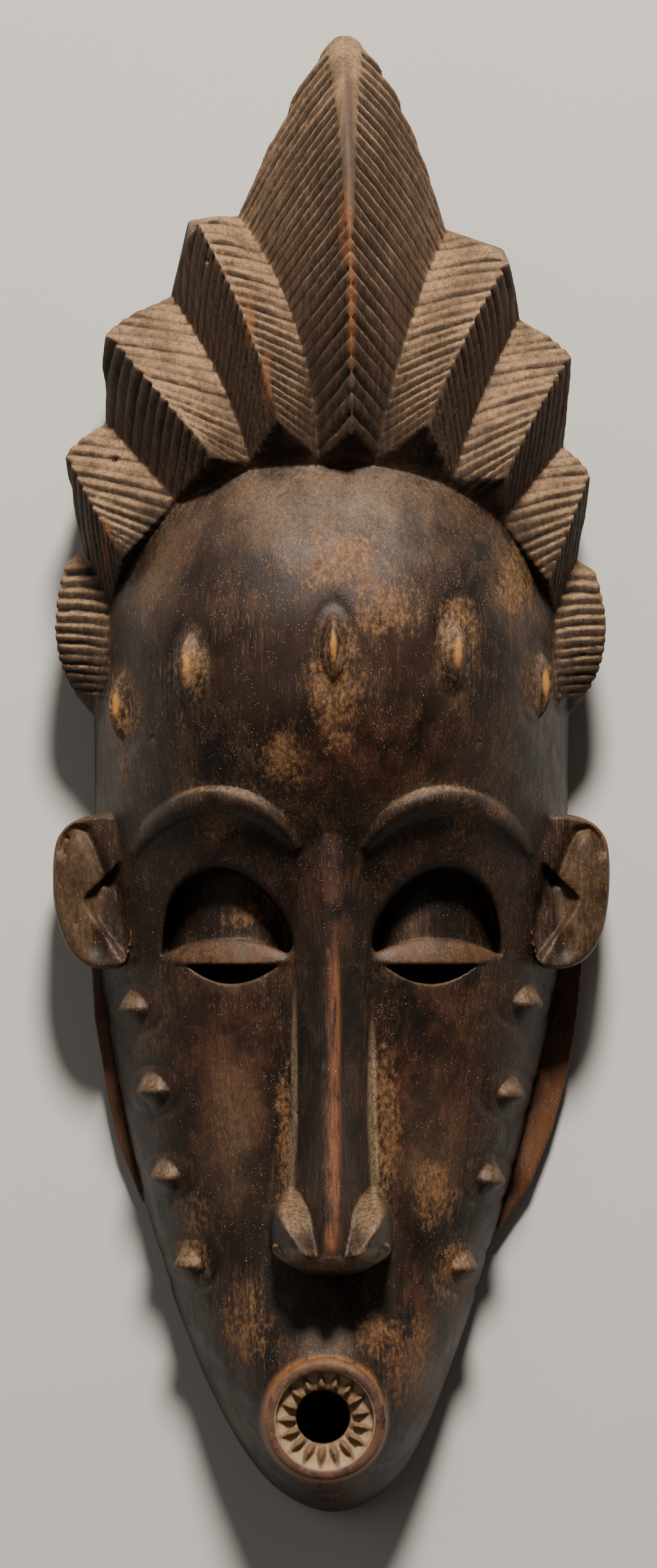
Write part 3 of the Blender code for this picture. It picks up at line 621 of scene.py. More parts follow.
# Down a wing of the nose: place, outer edge, crest, height of the crest and inner edge, in units
NOSTRIL_STATIONS = (
    (88.4, 11.9, 10.6, 54.0, 9.5), (85.8, 14.2, 12.2, 60.5, 6.0), (82.0, 15.9, 13.4, 67.0, 3.5),
    (79.0, 16.5, 12.6, 70.6, 2.8), (76.6, 16.7, 10.4, 73.2, 2.2), (74.2, 16.6, 7.6, 74.8, 1.5),
    (71.7, 16.2, 6.0, 67.5, 1.5),
)
NOSE_BOW = 4.4
NOSE_TOP = 193
NOSE_RUN = 119.1
NOSE_ROWS = 90
NOSE_FOOT = 71.6
NOSE_HALF_FOOT = 16.6
WING_TOP = 88.4
WING_RUN = 14.2
WING_ROWS = 30
LIP_HALF_LENGTH = 15.9
LIP_COLUMNS = 60


def bowed(x, y):
    """The place of a point of the nose's lower end, which bows down in the middle."""
    return y - NOSE_BOW * (1 - (x / NOSE_HALF_FOOT) ** 2) * min(1.0, max(0.0, (80 - y) / 6))


def column(stations, index):
    """One column of a table of stations, as a smooth curve over the first."""
    return smooth_through(tuple((row[0], row[index]) for row in reversed(stations)))


def nose():
    """The long straight nose with its narrow flat ridge, down to its bowed lower edge."""
    ridge_at, base_at, top_at = (column(NOSE_STATIONS, i) for i in (1, 2, 3))
    rings = []
    places = [NOSE_TOP - NOSE_RUN * i / NOSE_ROWS for i in range(NOSE_ROWS + 1)]
    for y in places + [73.2, 72.4, NOSE_FOOT]:
        ridge, base, top = ridge_at(y), base_at(y), top_at(y)
        low = min(face_height(base, y), top - 4)
        sides = [(base, -0.35)]
        for i in range(13):
            t = i / 12
            x = (1 - t) * (1 - t) * base + 2 * t * (1 - t) * (base * 0.46 + ridge * 0.3) + t * t * ridge
            lift = 0.02 * (1 - t) * (1 - t) + 2 * t * (1 - t) * 0.52 + t * t * 1.0
            sides.append((x, lift))
        sides.append((ridge * 0.6, 1.012))
        ring = []
        for x, lift in [(-x, lift) for x, lift in sides] + sides[::-1]:
            ring.append(place(x, bowed(x, y), low + (top - low) * lift))
        rings.append(ring)
    return loft("nose", rings)


def nose_lip():
    """The thin lip that follows the lower edge of the nose."""
    rings = []
    for i in range(LIP_COLUMNS + 1):
        share = -1 + 2 * i / LIP_COLUMNS
        x = LIP_HALF_LENGTH * share
        edge = NOSE_FOOT - NOSE_BOW * (1 - (x / NOSE_HALF_FOOT) ** 2)
        out = 2.3 * (1 - abs(share) ** 3) + 0.15
        profile = (
            (edge + 2.5, 50.0), (edge + 2.5, 67.5), (edge + 0.3, 66.5), (edge - 0.6 * out, 64.5),
            (edge - out, 62.0), (edge - out, 60.8), (edge - 0.4 * out, 57.0), (edge - 0.1 * out, 50.0),
        )
        rings.append([place(x, y, z - 3.0 * share * share) for y, z in profile])
    return loft("nose_lip", rings)


def nostril(side):
    """A wing of the nose, whose crest runs inward to the tip."""
    outer_at, crest_at, top_at, inner_at = (column(NOSTRIL_STATIONS, i) for i in (1, 2, 3, 4))
    rings = []
    places = [WING_TOP - WING_RUN * i / WING_ROWS for i in range(WING_ROWS + 1)]
    for y in places + [73.4, 72.5, 71.7]:
        outer, crest, top, inner = outer_at(y), crest_at(y), top_at(y), inner_at(y)
        low = face_height(outer, y)
        end = 1.0 + (crest - inner) / (outer - crest + 0.1)
        profile = smooth_through(((0.0, 0.15), (0.1, 0.42), (0.5, 0.80), (1.0, 1.0), (end, 0.84)))
        ring = [place(side * outer, bowed(outer, y), low - 0.3 * (top - low))]
        for i in range(19):
            share = i / 18
            x = outer + (inner - outer) * share
            lift = profile((outer - x) / (outer - crest + 1e-6))
            ring.append(place(side * x, bowed(x, y), low + (top - low) * lift))
        ring.append(place(side * inner, bowed(inner, y), low - 0.3 * (top - low)))
        rings.append(ring)
    return loft(f"nostril_{'right' if side > 0 else 'left'}", rings)


SOCKET_OUTLINE = (
    (9.9, 152.2), (11.2, 159.5), (14.5, 165.6), (19.4, 170.8), (24.8, 174.2), (30.6, 175.6), (37.2, 173.8),
    (42.6, 168.8), (45.2, 161.5), (46.2, 153.5), (45.6, 149.6), (36.0, 148.0), (27.0, 147.4), (18.0, 148.6),
)
LID_MIDDLE = (28.2, 152.5)
LID_HALF_LENGTH = 18.4
SLIT_MIDDLE = (26.8, 148.9)
CORNER_CUT = 0.22


def rounded(outline, times=3):
    """A closed outline with its corners cut, again and again, into a smooth curve."""
    points = np.array(outline, float)
    for _ in range(times):
        following = np.roll(points, -1, axis=0)
        early = (1 - CORNER_CUT) * points + CORNER_CUT * following
        late = CORNER_CUT * points + (1 - CORNER_CUT) * following
        points = np.stack([early, late], 1).reshape(-1, 2)
    return points


def scoop(name, outline, middle, edge_depth, middle_depth, lean=0.94):
    """A cutter for a dish whose floor rises from its edge to its middle, below the face."""
    shares = [(1.10, None), (1.06, 0.0), (1.03, 0.0004), (1.0, 0.0011), (0.985, 0.003), (lean, edge_depth)]
    shares += [(lean - (lean - 0.04) * i / 24, None) for i in range(1, 25)]
    rings = []
    for share, depth in shares:
        ring = []
        for x, y in outline:
            px = middle[0] + (x - middle[0]) * share
            py = middle[1] + (y - middle[1]) * share
            point = place(px, py, face_height(px, py))
            if share > 1.08:
                point[2] = ABOVE
            elif depth is not None:
                point[2] -= depth
            else:
                out = (share / lean) ** 2
                point[2] -= middle_depth + (edge_depth - middle_depth) * out
            ring.append(point)
        rings.append(ring)
    return loft(name, rings)


def mirrored(points, side):
    """These outline points on the right side of the face, or mirrored to the left."""
    return [(side * x, y) for x, y in points]


def socket(side):
    """The hollow of an eye, whose floor swells into the closed lid."""
    name = f"socket_{'right' if side > 0 else 'left'}"
    outline = mirrored(rounded(SOCKET_OUTLINE), side)
    return scoop(name, outline, (side * LID_MIDDLE[0], LID_MIDDLE[1]), SOCKET_DEPTH, 0.0035)


def lid(side):
    """The ledge along the lower edge of a closed lid."""
    rings = []
    stations = 41
    for i in range(stations):
        share = -1 + 2 * i / (stations - 1)
        x = side * LID_MIDDLE[0] + LID_HALF_LENGTH * share
        curve = 1 - abs(share) ** 2.2
        upper, lower = 150.6 + 5.0 * curve, 149.9 - 1.4 * curve
        surface = place(x, lower, face_height(x, lower))
        back = place(x, upper, face_height(x, upper))
        rings.append(
            [
                surface + np.array([0, 0, LID_RISE * curve]),
                back - np.array([0, 0, 0.0025 * curve + 0.0005]),
                back - np.array([0, 0, SOCKET_DEPTH + 0.003]),
                surface - np.array([0, 0, SOCKET_DEPTH + 0.003]),
            ]
        )
    return loft(f"lid_{'right' if side > 0 else 'left'}", rings)


def slit(side):
    """The opening under a lid that the wearer looks through."""
    stations = 31
    top_y = along(SLIT_MIDDLE[1] - UNITS_HIGH / 2)
    middle = across(side * SLIT_MIDDLE[0])
    upper, lower = [], []
    for i in range(stations):
        share = -1 + 2 * i / (stations - 1)
        x = middle + SLIT_HALF_LENGTH * share
        upper.append((x, top_y))
        lower.append((x, top_y - 0.0003 - (SLIT_HEIGHT - 0.0003) * (1 - share * share)))
    outline = upper + lower[::-1]
    return loft(
        f"slit_{'right' if side > 0 else 'left'}",
        [[np.array([x, y, z]) for x, y in outline] for z in (outward(20), ABOVE)],
    )


def turned(name, middle, profile, sides=ROUND_SIDES):
    """A round solid about an axis along Z, from (radius, height) pairs."""
    angles = [2 * math.pi * i / sides for i in range(sides)]
    return loft(
        name,
        [[middle + (r * math.cos(a), r * math.sin(a), height) for a in angles] for r, height in profile],
    )


def mouth_middle():
    """The middle of the mouth, in the rim's plane."""
    return place(*MOUTH_PLACE)


def mouth_tube():
    """The short tube of the pursed mouth, with a softened rim."""
    outer = MOUTH_RADIUS
    return turned(
        "mouth_tube",
        mouth_middle(),
        (
            (outer * 1.1, 0.030), (outer * 1.03, MOUTH_FRONT - 0.008), (outer * 1.005, MOUTH_FRONT - 0.0025),
            (outer, MOUTH_FRONT - 0.0012), (outer - 0.0003, MOUTH_FRONT - 0.0004),
            (outer - 0.0009, MOUTH_FRONT),
        ),
    )


def mouth_cup():
    """The cone that narrows from the lip to the bore."""
    inner = MOUTH_RADIUS - MOUTH_LIP
    return turned(
        "mouth_cup",
        mouth_middle(),
        (
            (MOUTH_BORE_RADIUS * 0.8, MOUTH_FRONT - MOUTH_CUP_DEPTH - 0.0006),
            (inner - 0.0006, MOUTH_FRONT - 0.0028),
            (inner, MOUTH_FRONT + 0.01),
        ),
    )


def mouth_bore():
    """The round hole through the mouth."""
    return turned(
        "mouth_bore",
        place(*BORE_PLACE),
        ((MOUTH_BORE_RADIUS, outward(10)), (MOUTH_BORE_RADIUS, ABOVE)),
    )


def tooth(index):
    """One pointed tooth on the sloping floor of the mouth."""
    angle = 2 * math.pi * (index + 0.5) / TEETH
    radial = np.array([math.cos(angle), math.sin(angle), 0])
    sideways = np.array([-math.sin(angle), math.cos(angle), 0])
    up = np.array([0, 0, 1.0])
    inner, outer = MOUTH_BORE_RADIUS + 0.0002, MOUTH_RADIUS - MOUTH_LIP - 0.0004
    half = 0.43 * 2 * math.pi * (inner + outer) / 2 / TEETH
    low, high = MOUTH_FRONT - MOUTH_CUP_DEPTH - 0.0004, MOUTH_FRONT - 0.0028
    rings = []
    for share, breadth, rise in ((0.0, 0.85, 0.85), (0.34, 1.0, 1.0), (0.98, 0.06, 0.05)):
        floor = low + (high - low) * share
        at = mouth_middle() + radial * (inner + (outer - inner) * share)
        rings.append(
            [
                at - sideways * half * breadth * 1.15 + up * (floor - 0.5 * TOOTH_RISE * rise),
                at + up * (floor + TOOTH_RISE * rise),
                at + sideways * half * breadth * 1.15 + up * (floor - 0.5 * TOOTH_RISE * rise),
            ]
        )
    return loft(f"tooth_{index + 1}", rings)


EAR_OUTLINE = (
    (54.0, 187.5), (61.0, 189.6), (67.0, 188.7), (71.5, 186.6), (74.6, 182.5), (75.5, 176.0), (75.5, 167.5),
    (74.1, 159.0), (71.4, 152.7), (67.5, 149.0), (62.5, 147.4), (54.0, 148.5),
)
EAR_FRONT = 37.0
EAR_LEAN = 0.30
EAR_GROOVE = (
    (73.0, 179.5), (72.0, 183.2), (69.6, 185.6), (66.6, 184.8), (64.6, 181.0), (62.6, 175.5), (61.0, 171.5),
)


def away_from(line, x, y):
    """The shortest distance from (x, y) to a line of points."""
    best = 1e9
    for (ax, ay), (bx, by) in zip(line, line[1:]):
        run = (bx - ax, by - ay)
        t = ((x - ax) * run[0] + (y - ay) * run[1]) / (run[0] ** 2 + run[1] ** 2)
        t = min(max(t, 0), 1)
        best = min(best, math.hypot(x - ax - t * run[0], y - ay - t * run[1]))
    return best


def ear_sunk(x, y):
    """How deep the ear's carving lies below its face, in units.

    A groove inside the rim with a swelling beside it, a notch towards the head, and a dimple in the lobe.
    """
    depth = 2.6 * math.exp(-((away_from(EAR_GROOVE, x, y) / 1.5) ** 2))
    depth -= 0.9 * math.exp(-(((x - 70) / 4.5) ** 2) - ((y - 174) / 8) ** 2)
    reach = 67.6 - x
    if reach > 0:
        upper, lower = 166.6 + 0.95 * reach, 165.8 - 1.5 * reach
        inside = float(between(0, 0.9, upper - y) * between(0, 2.2, y - lower))
        depth += inside * min(4.6, 0.9 * reach + 0.6)
    low = ((x - 62.6) / 3.0) ** 2 + ((y - 154.0) / 4.2) ** 2
    depth += 2.0 * math.exp(-(low**1.5))
    return depth


def ear(side):
    """A C-shaped ear, leaning back away from the face."""
    middle = (62.0, 168.0)
    rings = []
    front = outward(EAR_FRONT)
    outline = rounded(EAR_OUTLINE, 3)
    levels = [(share, front - deep * EAR_THICKNESS) for share, deep in ((0.90, 1), (0.97, 0.85), (1.0, 0.7))]
    levels += [(1.005, front - 0.0030), (1.0, front - 0.0018), (0.985, front - 0.0007), (0.965, front)]
    levels += [(0.965 - 0.945 * i / 44, front) for i in range(1, 45)]
    for share, level in levels:
        ring = []
        for x, y in outline:
            px = middle[0] + (x - middle[0]) * share
            py = middle[1] + (y - middle[1]) * share
            lean = EAR_LEAN * (across(px) - across(58.0))
            point = place(side * px, py)
            sunk = outward(ear_sunk(px, py)) if share < 0.98 else 0.0
            point[2] = level - lean - sunk
            ring.append(point)
        rings.append(ring)
    return loft(f"ear_{'right' if side > 0 else 'left'}", rings)


COLLAR_OUTLINES = {
    "right": (
        (67.5, 186.0), (69.2, 165.0), (68.4, 149.5), (66.9, 134.0), (64.0, 117.0), (59.8, 103.0),
        (54.1, 89.3), (45.6, 76.4), (36.0, 78.0), (50.0, 125.0), (54.0, 186.0),
    ),
    "left": (
        (-66.5, 186.0), (-66.6, 165.0), (-65.2, 147.0), (-64.4, 134.0), (-62.6, 122.8), (-60.6, 111.4),
        (-57.9, 99.9), (-51.6, 84.0), (-36.0, 86.0), (-50.0, 125.0), (-54.0, 186.0),
    ),
}


def collar(side):
    """The thin flange that frames the jaw from behind the ear."""
    outline = COLLAR_OUTLINES[side]
    rings = []
    for level in (-1.05 * BELOW, COLLAR_THICKNESS):
        rings.append([place(x, y) * (1, 1, 0) + (0, 0, level) for x, y in outline])
    return loft(f"collar_{side}", rings)


def collar_hole():
    """The small hole for a cord in the collar beside the cheek."""
    return turned(
        "collar_hole",
        place(63.2, 132.5),
        ((COLLAR_HOLE_RADIUS, -2 * BELOW), (COLLAR_HOLE_RADIUS, COLLAR_THICKNESS + BELOW)),
        sides=24,
    )


def both(make):
    """The left and the right one of a thing that comes in a pair."""
    return [make(-1), make(1)]


def carved_block():
    """The whole mask as one object with its carving steps, remeshed evenly."""
    keloid_size = along(KELOID_HALF_LENGTH), across(KELOID_HALF_BREADTH), KELOID_RISE, KELOID_FULLNESS
    bump_size = across(BUMP_HALF_LENGTH), along(BUMP_HALF_BREADTH), CHEEK_BUMP_RISE, BUMP_FULLNESS
    keloids = [almond(f"keloid_{i}", at, "Y", *keloid_size) for i, at in enumerate(KELOIDS, 1)]
    bumps = [almond(f"bump_{i}", at, "X", *bump_size) for i, at in enumerate(CHEEK_BUMPS, 1)]
    mask = shell()
    carve(mask, together("ears", both(ear)), "UNION")
    carve(mask, together("collars", [collar("left"), collar("right")]), "UNION")
    carve(mask, together("brows", both(brow)), "UNION")
    carve(mask, together("keloids", keloids), "UNION")
    carve(mask, together("cheek_bumps", bumps), "UNION")
    carve(mask, mouth_tube(), "UNION")
    carve(mask, together("sockets", both(socket)), "DIFFERENCE")
    carve(mask, together("lids", both(lid)), "UNION")
    carve(mask, nose(), "UNION")
    carve(mask, together("nostrils", both(nostril)), "UNION")
    carve(mask, nose_lip(), "UNION")
    carve(mask, together("slits", both(slit)), "DIFFERENCE")
    carve(mask, mouth_cup(), "DIFFERENCE")
    carve(mask, together("teeth", [tooth(i) for i in range(TEETH)]), "UNION")
    carve(mask, mouth_bore(), "DIFFERENCE")
    carve(mask, collar_hole(), "DIFFERENCE")
    for number, row in enumerate(LOBES):
        carve(mask, lobe(number, *row), "UNION")
    carve(mask, hollow(), "DIFFERENCE")
    carve(mask, back_cut(), "DIFFERENCE")
    even = mask.modifiers.new("even", "REMESH")
    even.mode = "VOXEL"
    even.voxel_size = VOXEL
    even.adaptivity = 0.0
    return mask


def evaluated_mesh(source):
    """A plain copy of what an object's modifiers make."""
    bpy.context.view_layer.update()
    graph = bpy.context.evaluated_depsgraph_get()
    return bpy.data.meshes.new_from_object(source.evaluated_get(graph))


class Skin:
    """A mesh's points, normals and neighbours as arrays, for smoothing and wearing it."""

    def __init__(self, mesh):
        """Reads the mesh's points and edges."""
        self.mesh = mesh
        self.points = np.empty(len(mesh.vertices) * 3)
        mesh.vertices.foreach_get("co", self.points)
        self.points = self.points.reshape(-1, 3)
        edges = np.empty(len(mesh.edges) * 2, np.int64)
        mesh.edges.foreach_get("vertices", edges)
        self.edges = edges.reshape(-1, 2)
        self.degree = np.bincount(edges, minlength=len(self.points)).astype(float)
        self.degree[self.degree == 0] = 1.0

    def normals(self):
        """The outward directions at the points."""
        self.store()
        out = np.empty(len(self.points) * 3)
        self.mesh.vertex_normals.foreach_get("vector", out)
        return out.reshape(-1, 3)

    def averaged(self, values):
        """Each point's value, replaced by the mean of its neighbours' values."""
        count = len(self.points)
        a, b = self.edges[:, 0], self.edges[:, 1]
        if values.ndim == 1:
            total = np.bincount(a, values[b], count) + np.bincount(b, values[a], count)
            return total / self.degree
        return np.stack([self.averaged(values[:, i]) for i in range(values.shape[1])], 1)

    def relaxed(self, values, rounds, share=0.5):
        """Values that diffuse over the surface for some rounds."""
        for _ in range(rounds):
            values = values + share * (self.averaged(values) - values)
        return values

    def store(self):
        """Writes the points back to the mesh."""
        self.mesh.vertices.foreach_set("co", self.points.ravel())
        self.mesh.update()


def to_units(points):
    """Carving units (across, up from the chin, outward) of points in metres."""
    return np.stack(
        [
            points[:, 0] * UNITS_WIDE / WIDTH,
            points[:, 1] * UNITS_HIGH / HEIGHT + UNITS_HIGH / 2,
            points[:, 2] * UNITS_DEEP / NOSE_DEPTH,
        ],
        1,
    )


# The hairline between the face and the crest, as (across, up) in units
HAIRLINE = (
    (-70, 214), (-64.5, 217), (-60, 243), (-52, 262), (-42, 275), (-22, 285), (-3.7, 286), (12, 286.5),
    (33, 280.5), (46.5, 269), (60, 244), (64.5, 217), (70, 214),
)


def in_crest(units):
    """1 on the crest, 0 on the face."""
    line = np.interp(units[:, 0], [p[0] for p in HAIRLINE], [p[1] for p in HAIRLINE])
    return between(-1.0, 1.0, units[:, 1] - line)


# How far a point stands out, in metres, where wear starts and where it is full
WORN_START = 0.00002
WORN_FULL = 0.00016
# How much chips and wear take off an edge, in mm
CHIP_DEPTH = 0.34
EDGE_WEAR = 0.12
# The shallow dish round each raised mark: its place and breadth as shares of the mark, and its depth in mm
DISH_PLACE = 1.3
DISH_BREADTH = 0.2
DISH_DEPTH = 0.4


def weather(skin):
    """Tool marks, wear and small damage, cut into the even mesh; depths are in mm."""
    skin.points = skin.relaxed(skin.points, 1, 0.5)
    out = skin.normals()
    units = to_units(skin.points)
    mm = skin.points * 1000.0
    crest = in_crest(units)
    inside = between(0.15, 0.5, -out[:, 2])
    softened = skin.relaxed(skin.points, 8, 0.5)
    bulge = np.einsum("ij,ij->i", skin.points - softened, out)
    marks = 0.045 * speckle(mm, (2.6, 22.0, 2.6), 1) + 0.03 * speckle(mm, (1.3, 9.0, 1.3), 2)
    marks += 0.22 * speckle(mm, (11.0, 16.0, 11.0), 3)
    hewn = 0.55 * np.abs(speckle(mm, (9.0, 17.0, 9.0), 4)) + 0.2 * speckle(mm, (3.0, 5.0, 3.0), 5)
    rough = 0.035 * speckle(mm, (1.2, 2.4, 1.2), 6) + 0.06 * speckle(mm, (4.5, 6.0, 4.5), 7)
    face = marks * (1 - crest) * (1 - inside) + rough * crest * (1 - inside)
    change = face - hewn * inside
    raised = [(at, KELOID_HALF_BREADTH, KELOID_HALF_LENGTH) for at in KELOIDS]
    raised += [(at, BUMP_HALF_LENGTH, BUMP_HALF_BREADTH) for at in CHEEK_BUMPS]
    for (x, y), breadth, height in raised:
        apart = np.hypot((units[:, 0] - x) / breadth, (units[:, 1] - y) / height)
        dish = np.exp(-(((apart - DISH_PLACE) / DISH_BREADTH) ** 2)) * between(1.0, 1.2, apart)
        change -= DISH_DEPTH * dish * (1 - inside)
    worn = between(WORN_START, WORN_FULL, bulge)
    chips = between(0.35, 0.75, speckle(mm, 2.1, 8)) * worn * (0.35 + 0.65 * crest)
    change -= CHIP_DEPTH * chips
    change -= EDGE_WEAR * worn * (1 + speckle(mm, 5.0, 9))
    skin.points = skin.points + out * change[:, None] / 1000.0


# Holes and dents that show: across, up and radius in units, and depth in mm
PIT_PLACES = (
    (-71.6, 183.0, 0.5, 1.2), (-69.3, 160.0, 0.35, 0.5), (-35.0, 357.0, 0.6, 1.2), (-58.8, 285.5, 0.7, 1.0),
    (-33.6, 339.0, 0.5, 0.8), (40.2, 209.0, 0.4, 0.5), (-22.3, 207.3, 0.5, 0.5),
)
RANDOM_PITS = 26


def sink(skin, units, out, x, y, radius, depth):
    """Sinks one round pit into the front of the wood."""
    away = np.hypot(units[:, 0] - x, units[:, 1] - y)
    near = (away < 3 * radius) & (out[:, 2] > 0.1)
    drop = depth * np.exp(-((away[near] / radius) ** 4))
    skin.points[near] -= out[near] * drop[:, None] / 1000.0


def pits(skin):
    """Insect holes and dents."""
    units = to_units(skin.points)
    out = skin.normals()
    rng = np.random.default_rng(7)
    for pit in PIT_PLACES:
        sink(skin, units, out, *pit)
    for _ in range(RANDOM_PITS):
        x, y = rng.uniform(-52, 52), rng.uniform(20, 390)
        radius, depth = rng.uniform(0.3, 0.7), rng.uniform(0.1, 0.45)
        sink(skin, units, out, x, y, radius, depth)


def keep_in(points, box):
    """Points held inside a box."""
    low, high = np.array(box[0]), np.array(box[1])
    return np.clip(points, low, high)


def grooved(points):
    """How deep in a groove of the crest each point lies, as a share."""
    places = np.concatenate([p for p, _ in BARBS])
    depths = np.concatenate([d for _, d in BARBS])
    tree = mathutils.kdtree.KDTree(len(places))
    for i, at in enumerate(places.tolist()):
        tree.insert(at, i)
    tree.balance()
    share = np.zeros(len(points))
    for i in np.flatnonzero(points[:, 1] > along(212 - UNITS_HIGH / 2)).tolist():
        share[i] = depths[tree.find(points[i])[1]]
    return share


def at_heights(form, units):
    """The value of one of the face's curves at the height of each point."""
    ups = np.linspace(0, HEAD_TOP, HEAD_TOP + 1)
    return np.interp(units[:, 1], ups, [form(y) for y in ups])


def flange(units):
    """1 on the thin collars beside the jaw, 0 elsewhere."""
    shift, half = at_heights(axis_shift, units), at_heights(half_width, units)
    beside = between(0.1, 0.8, np.abs(units[:, 0] - shift) - half)
    return beside * between(9.5, 8.0, units[:, 2]) * between(186, 180, units[:, 1])


def toothed(units):
    """1 on the teeth of the mouth, 0 on the floor between them."""
    away = units[:, :2] - np.array(MOUTH_PLACE)
    apart = np.hypot(away[:, 0], away[:, 1])
    turn = np.arctan2(away[:, 1], away[:, 0]) / (2 * math.pi) * TEETH
    beside = np.abs(turn - np.floor(turn) - 0.5)
    breadth = np.interp(apart, (7.0, 9.5, 13.4), (0.40, 0.40, 0.03))
    return between(0.08, -0.02, beside - breadth) * between(13.9, 13.0, apart)


def store_fact(mesh, name, values):
    """Keeps one value a point on the mesh, under this name."""
    layer = mesh.attributes.new(name, "FLOAT", "POINT")
    layer.data.foreach_set("value", values.astype(np.float32))


def ridged(skin):
    """How far each point stands out from the surface around it, as a share."""
    softened = skin.relaxed(skin.points, 4, 0.5)
    bulge = np.einsum("ij,ij->i", skin.points - softened, skin.normals())
    return skin.relaxed(between(WORN_START, WORN_FULL, bulge), 1)


def surface_facts(mesh):
    """Stores how sheltered, hollow and dusty each point is, for the wood to be coloured by."""
    skin = Skin(mesh)
    out = skin.normals()
    units = to_units(skin.points)
    tree = BVHTree.FromPolygons(
        [tuple(p) for p in skin.points], [tuple(face.vertices) for face in mesh.polygons]
    )
    rays = []
    for i in range(RAYS):
        z = 1 - (i + 0.5) / RAYS * 0.85
        angle = GOLDEN_ANGLE * i
        rays.append((math.sqrt(1 - z * z) * math.cos(angle), math.sqrt(1 - z * z) * math.sin(angle), z))
    side = np.cross(out, (0.3, 0.5, 0.81))
    side /= np.linalg.norm(side, axis=1)[:, None] + 1e-9
    other = np.cross(out, side)
    near, far = np.zeros(len(out)), np.zeros(len(out))
    starts = skin.points + out * RAY_START
    seen = np.flatnonzero(out[:, 2] > -0.2)
    for number, (a, b, c) in enumerate(rays):
        chosen = seen[(seen + number) % RAY_SHARE == 0]
        towards = side[chosen] * a + other[chosen] * b + out[chosen] * c
        for i, way in zip(chosen.tolist(), towards):
            hit = tree.ray_cast(starts[i], way, FAR_REACH)
            if hit[0] is not None:
                far[i] += 1 - hit[3] / FAR_REACH
                near[i] += max(0.0, 1 - hit[3] / NEAR_REACH)
    far = skin.relaxed(far * RAY_SHARE / RAYS, 3, 0.7)
    near = skin.relaxed(near * RAY_SHARE / RAYS, 2, 0.6)
    facts = {
        "sheltered": np.clip(far * 1.6, 0, 1),
        "creased": np.clip(near * 2.2, 0, 1),
        "crest": in_crest(units),
        "grooved": grooved(skin.points) * in_crest(units),
        "flange": flange(units),
        "toothed": toothed(units),
        "upward": np.clip(out[:, 1], 0, 1),
        "behind": between(0.1, 0.5, -out[:, 2]),
    }
    for name, values in facts.items():
        store_fact(mesh, name, values)


class Wiring:
    """Short names for wiring a material's nodes."""

    def __init__(self, material):
        """Turns the material's nodes on."""
        material.use_nodes = True
        self.tree = material.node_tree
        self.surface = self.tree.nodes["Principled BSDF"]
        self.coords = self.tree.nodes.new("ShaderNodeTexCoord").outputs["Object"]

    def join(self, value, socket):
        """Sets a socket to a number or colour, or wires an output to it."""
        if isinstance(value, bpy.types.NodeSocket):
            self.tree.links.new(value, socket)
        elif value is not None:
            socket.default_value = value

    def scaled(self, size):
        """Object coordinates measured in cells of this size, in metres."""
        node = self.tree.nodes.new("ShaderNodeMapping")
        node.inputs["Scale"].default_value = [1 / s for s in size]
        self.join(self.coords, node.inputs["Vector"])
        return node.outputs["Vector"]

    def noise(self, size, detail=3.0, roughness=0.55, distortion=0.0):
        """Cloudy noise from 0 to 1."""
        node = self.tree.nodes.new("ShaderNodeTexNoise")
        node.inputs["Scale"].default_value = 1.0
        node.inputs["Detail"].default_value = detail
        node.inputs["Roughness"].default_value = roughness
        node.inputs["Distortion"].default_value = distortion
        self.join(self.scaled(size), node.inputs["Vector"])
        return node.outputs["Fac"]

    def dots(self, size):
        """The distance to the nearest of scattered points, in cells."""
        node = self.tree.nodes.new("ShaderNodeTexVoronoi")
        node.inputs["Scale"].default_value = 1.0
        self.join(self.scaled(size), node.inputs["Vector"])
        return node.outputs["Distance"]

    def fact(self, name):
        """A value stored on the mesh."""
        node = self.tree.nodes.new("ShaderNodeAttribute")
        node.attribute_name = name
        return node.outputs["Fac"]

    def sum(self, operation, a, b=None):
        """One sum on numbers or outputs."""
        node = self.tree.nodes.new("ShaderNodeMath")
        node.operation = operation
        self.join(a, node.inputs[0])
        self.join(b, node.inputs[1])
        return node.outputs[0]

    def ramp(self, value, low, high, to_low=0.0, to_high=1.0):
        """A smooth rise from to_low at low to to_high at high."""
        node = self.tree.nodes.new("ShaderNodeMapRange")
        node.interpolation_type = "SMOOTHSTEP"
        self.join(value, node.inputs["Value"])
        node.inputs["From Min"].default_value = low
        node.inputs["From Max"].default_value = high
        node.inputs["To Min"].default_value = to_low
        node.inputs["To Max"].default_value = to_high
        return node.outputs["Result"]

    def mix(self, share, a, b):
        """Colour a turning into colour b."""
        node = self.tree.nodes.new("ShaderNodeMix")
        node.data_type = "RGBA"
        self.join(share, node.inputs[0])
        self.join(a, node.inputs[6])
        self.join(b, node.inputs[7])
        return node.outputs[2]

    def times(self, *values):
        """The product of several values."""
        total = values[0]
        for value in values[1:]:
            total = self.sum("MULTIPLY", total, value)
        return total


def spots(wires, places, start=0.25, stop=1.15):
    """Patches at these places of the face: (across, up, half breadth, half height) in units.

    A patch is full out to the share start of its size, and gone at the share stop.
    """
    separate = wires.tree.nodes.new("ShaderNodeSeparateXYZ")
    wires.join(wires.coords, separate.inputs[0])
    total = None
    for x, y, broad, high in places:
        at = place(x, y)
        a = wires.sum("DIVIDE", wires.sum("SUBTRACT", separate.outputs[0], float(at[0])), across(broad))
        b = wires.sum("DIVIDE", wires.sum("SUBTRACT", separate.outputs[1], float(at[1])), along(high))
        apart = wires.sum("SQRT", wires.sum("ADD", wires.times(a, a), wires.times(b, b)))
        patch = wires.ramp(apart, start, stop, 1.0, 0.0)
        total = patch if total is None else wires.sum("MAXIMUM", total, patch)
    return total


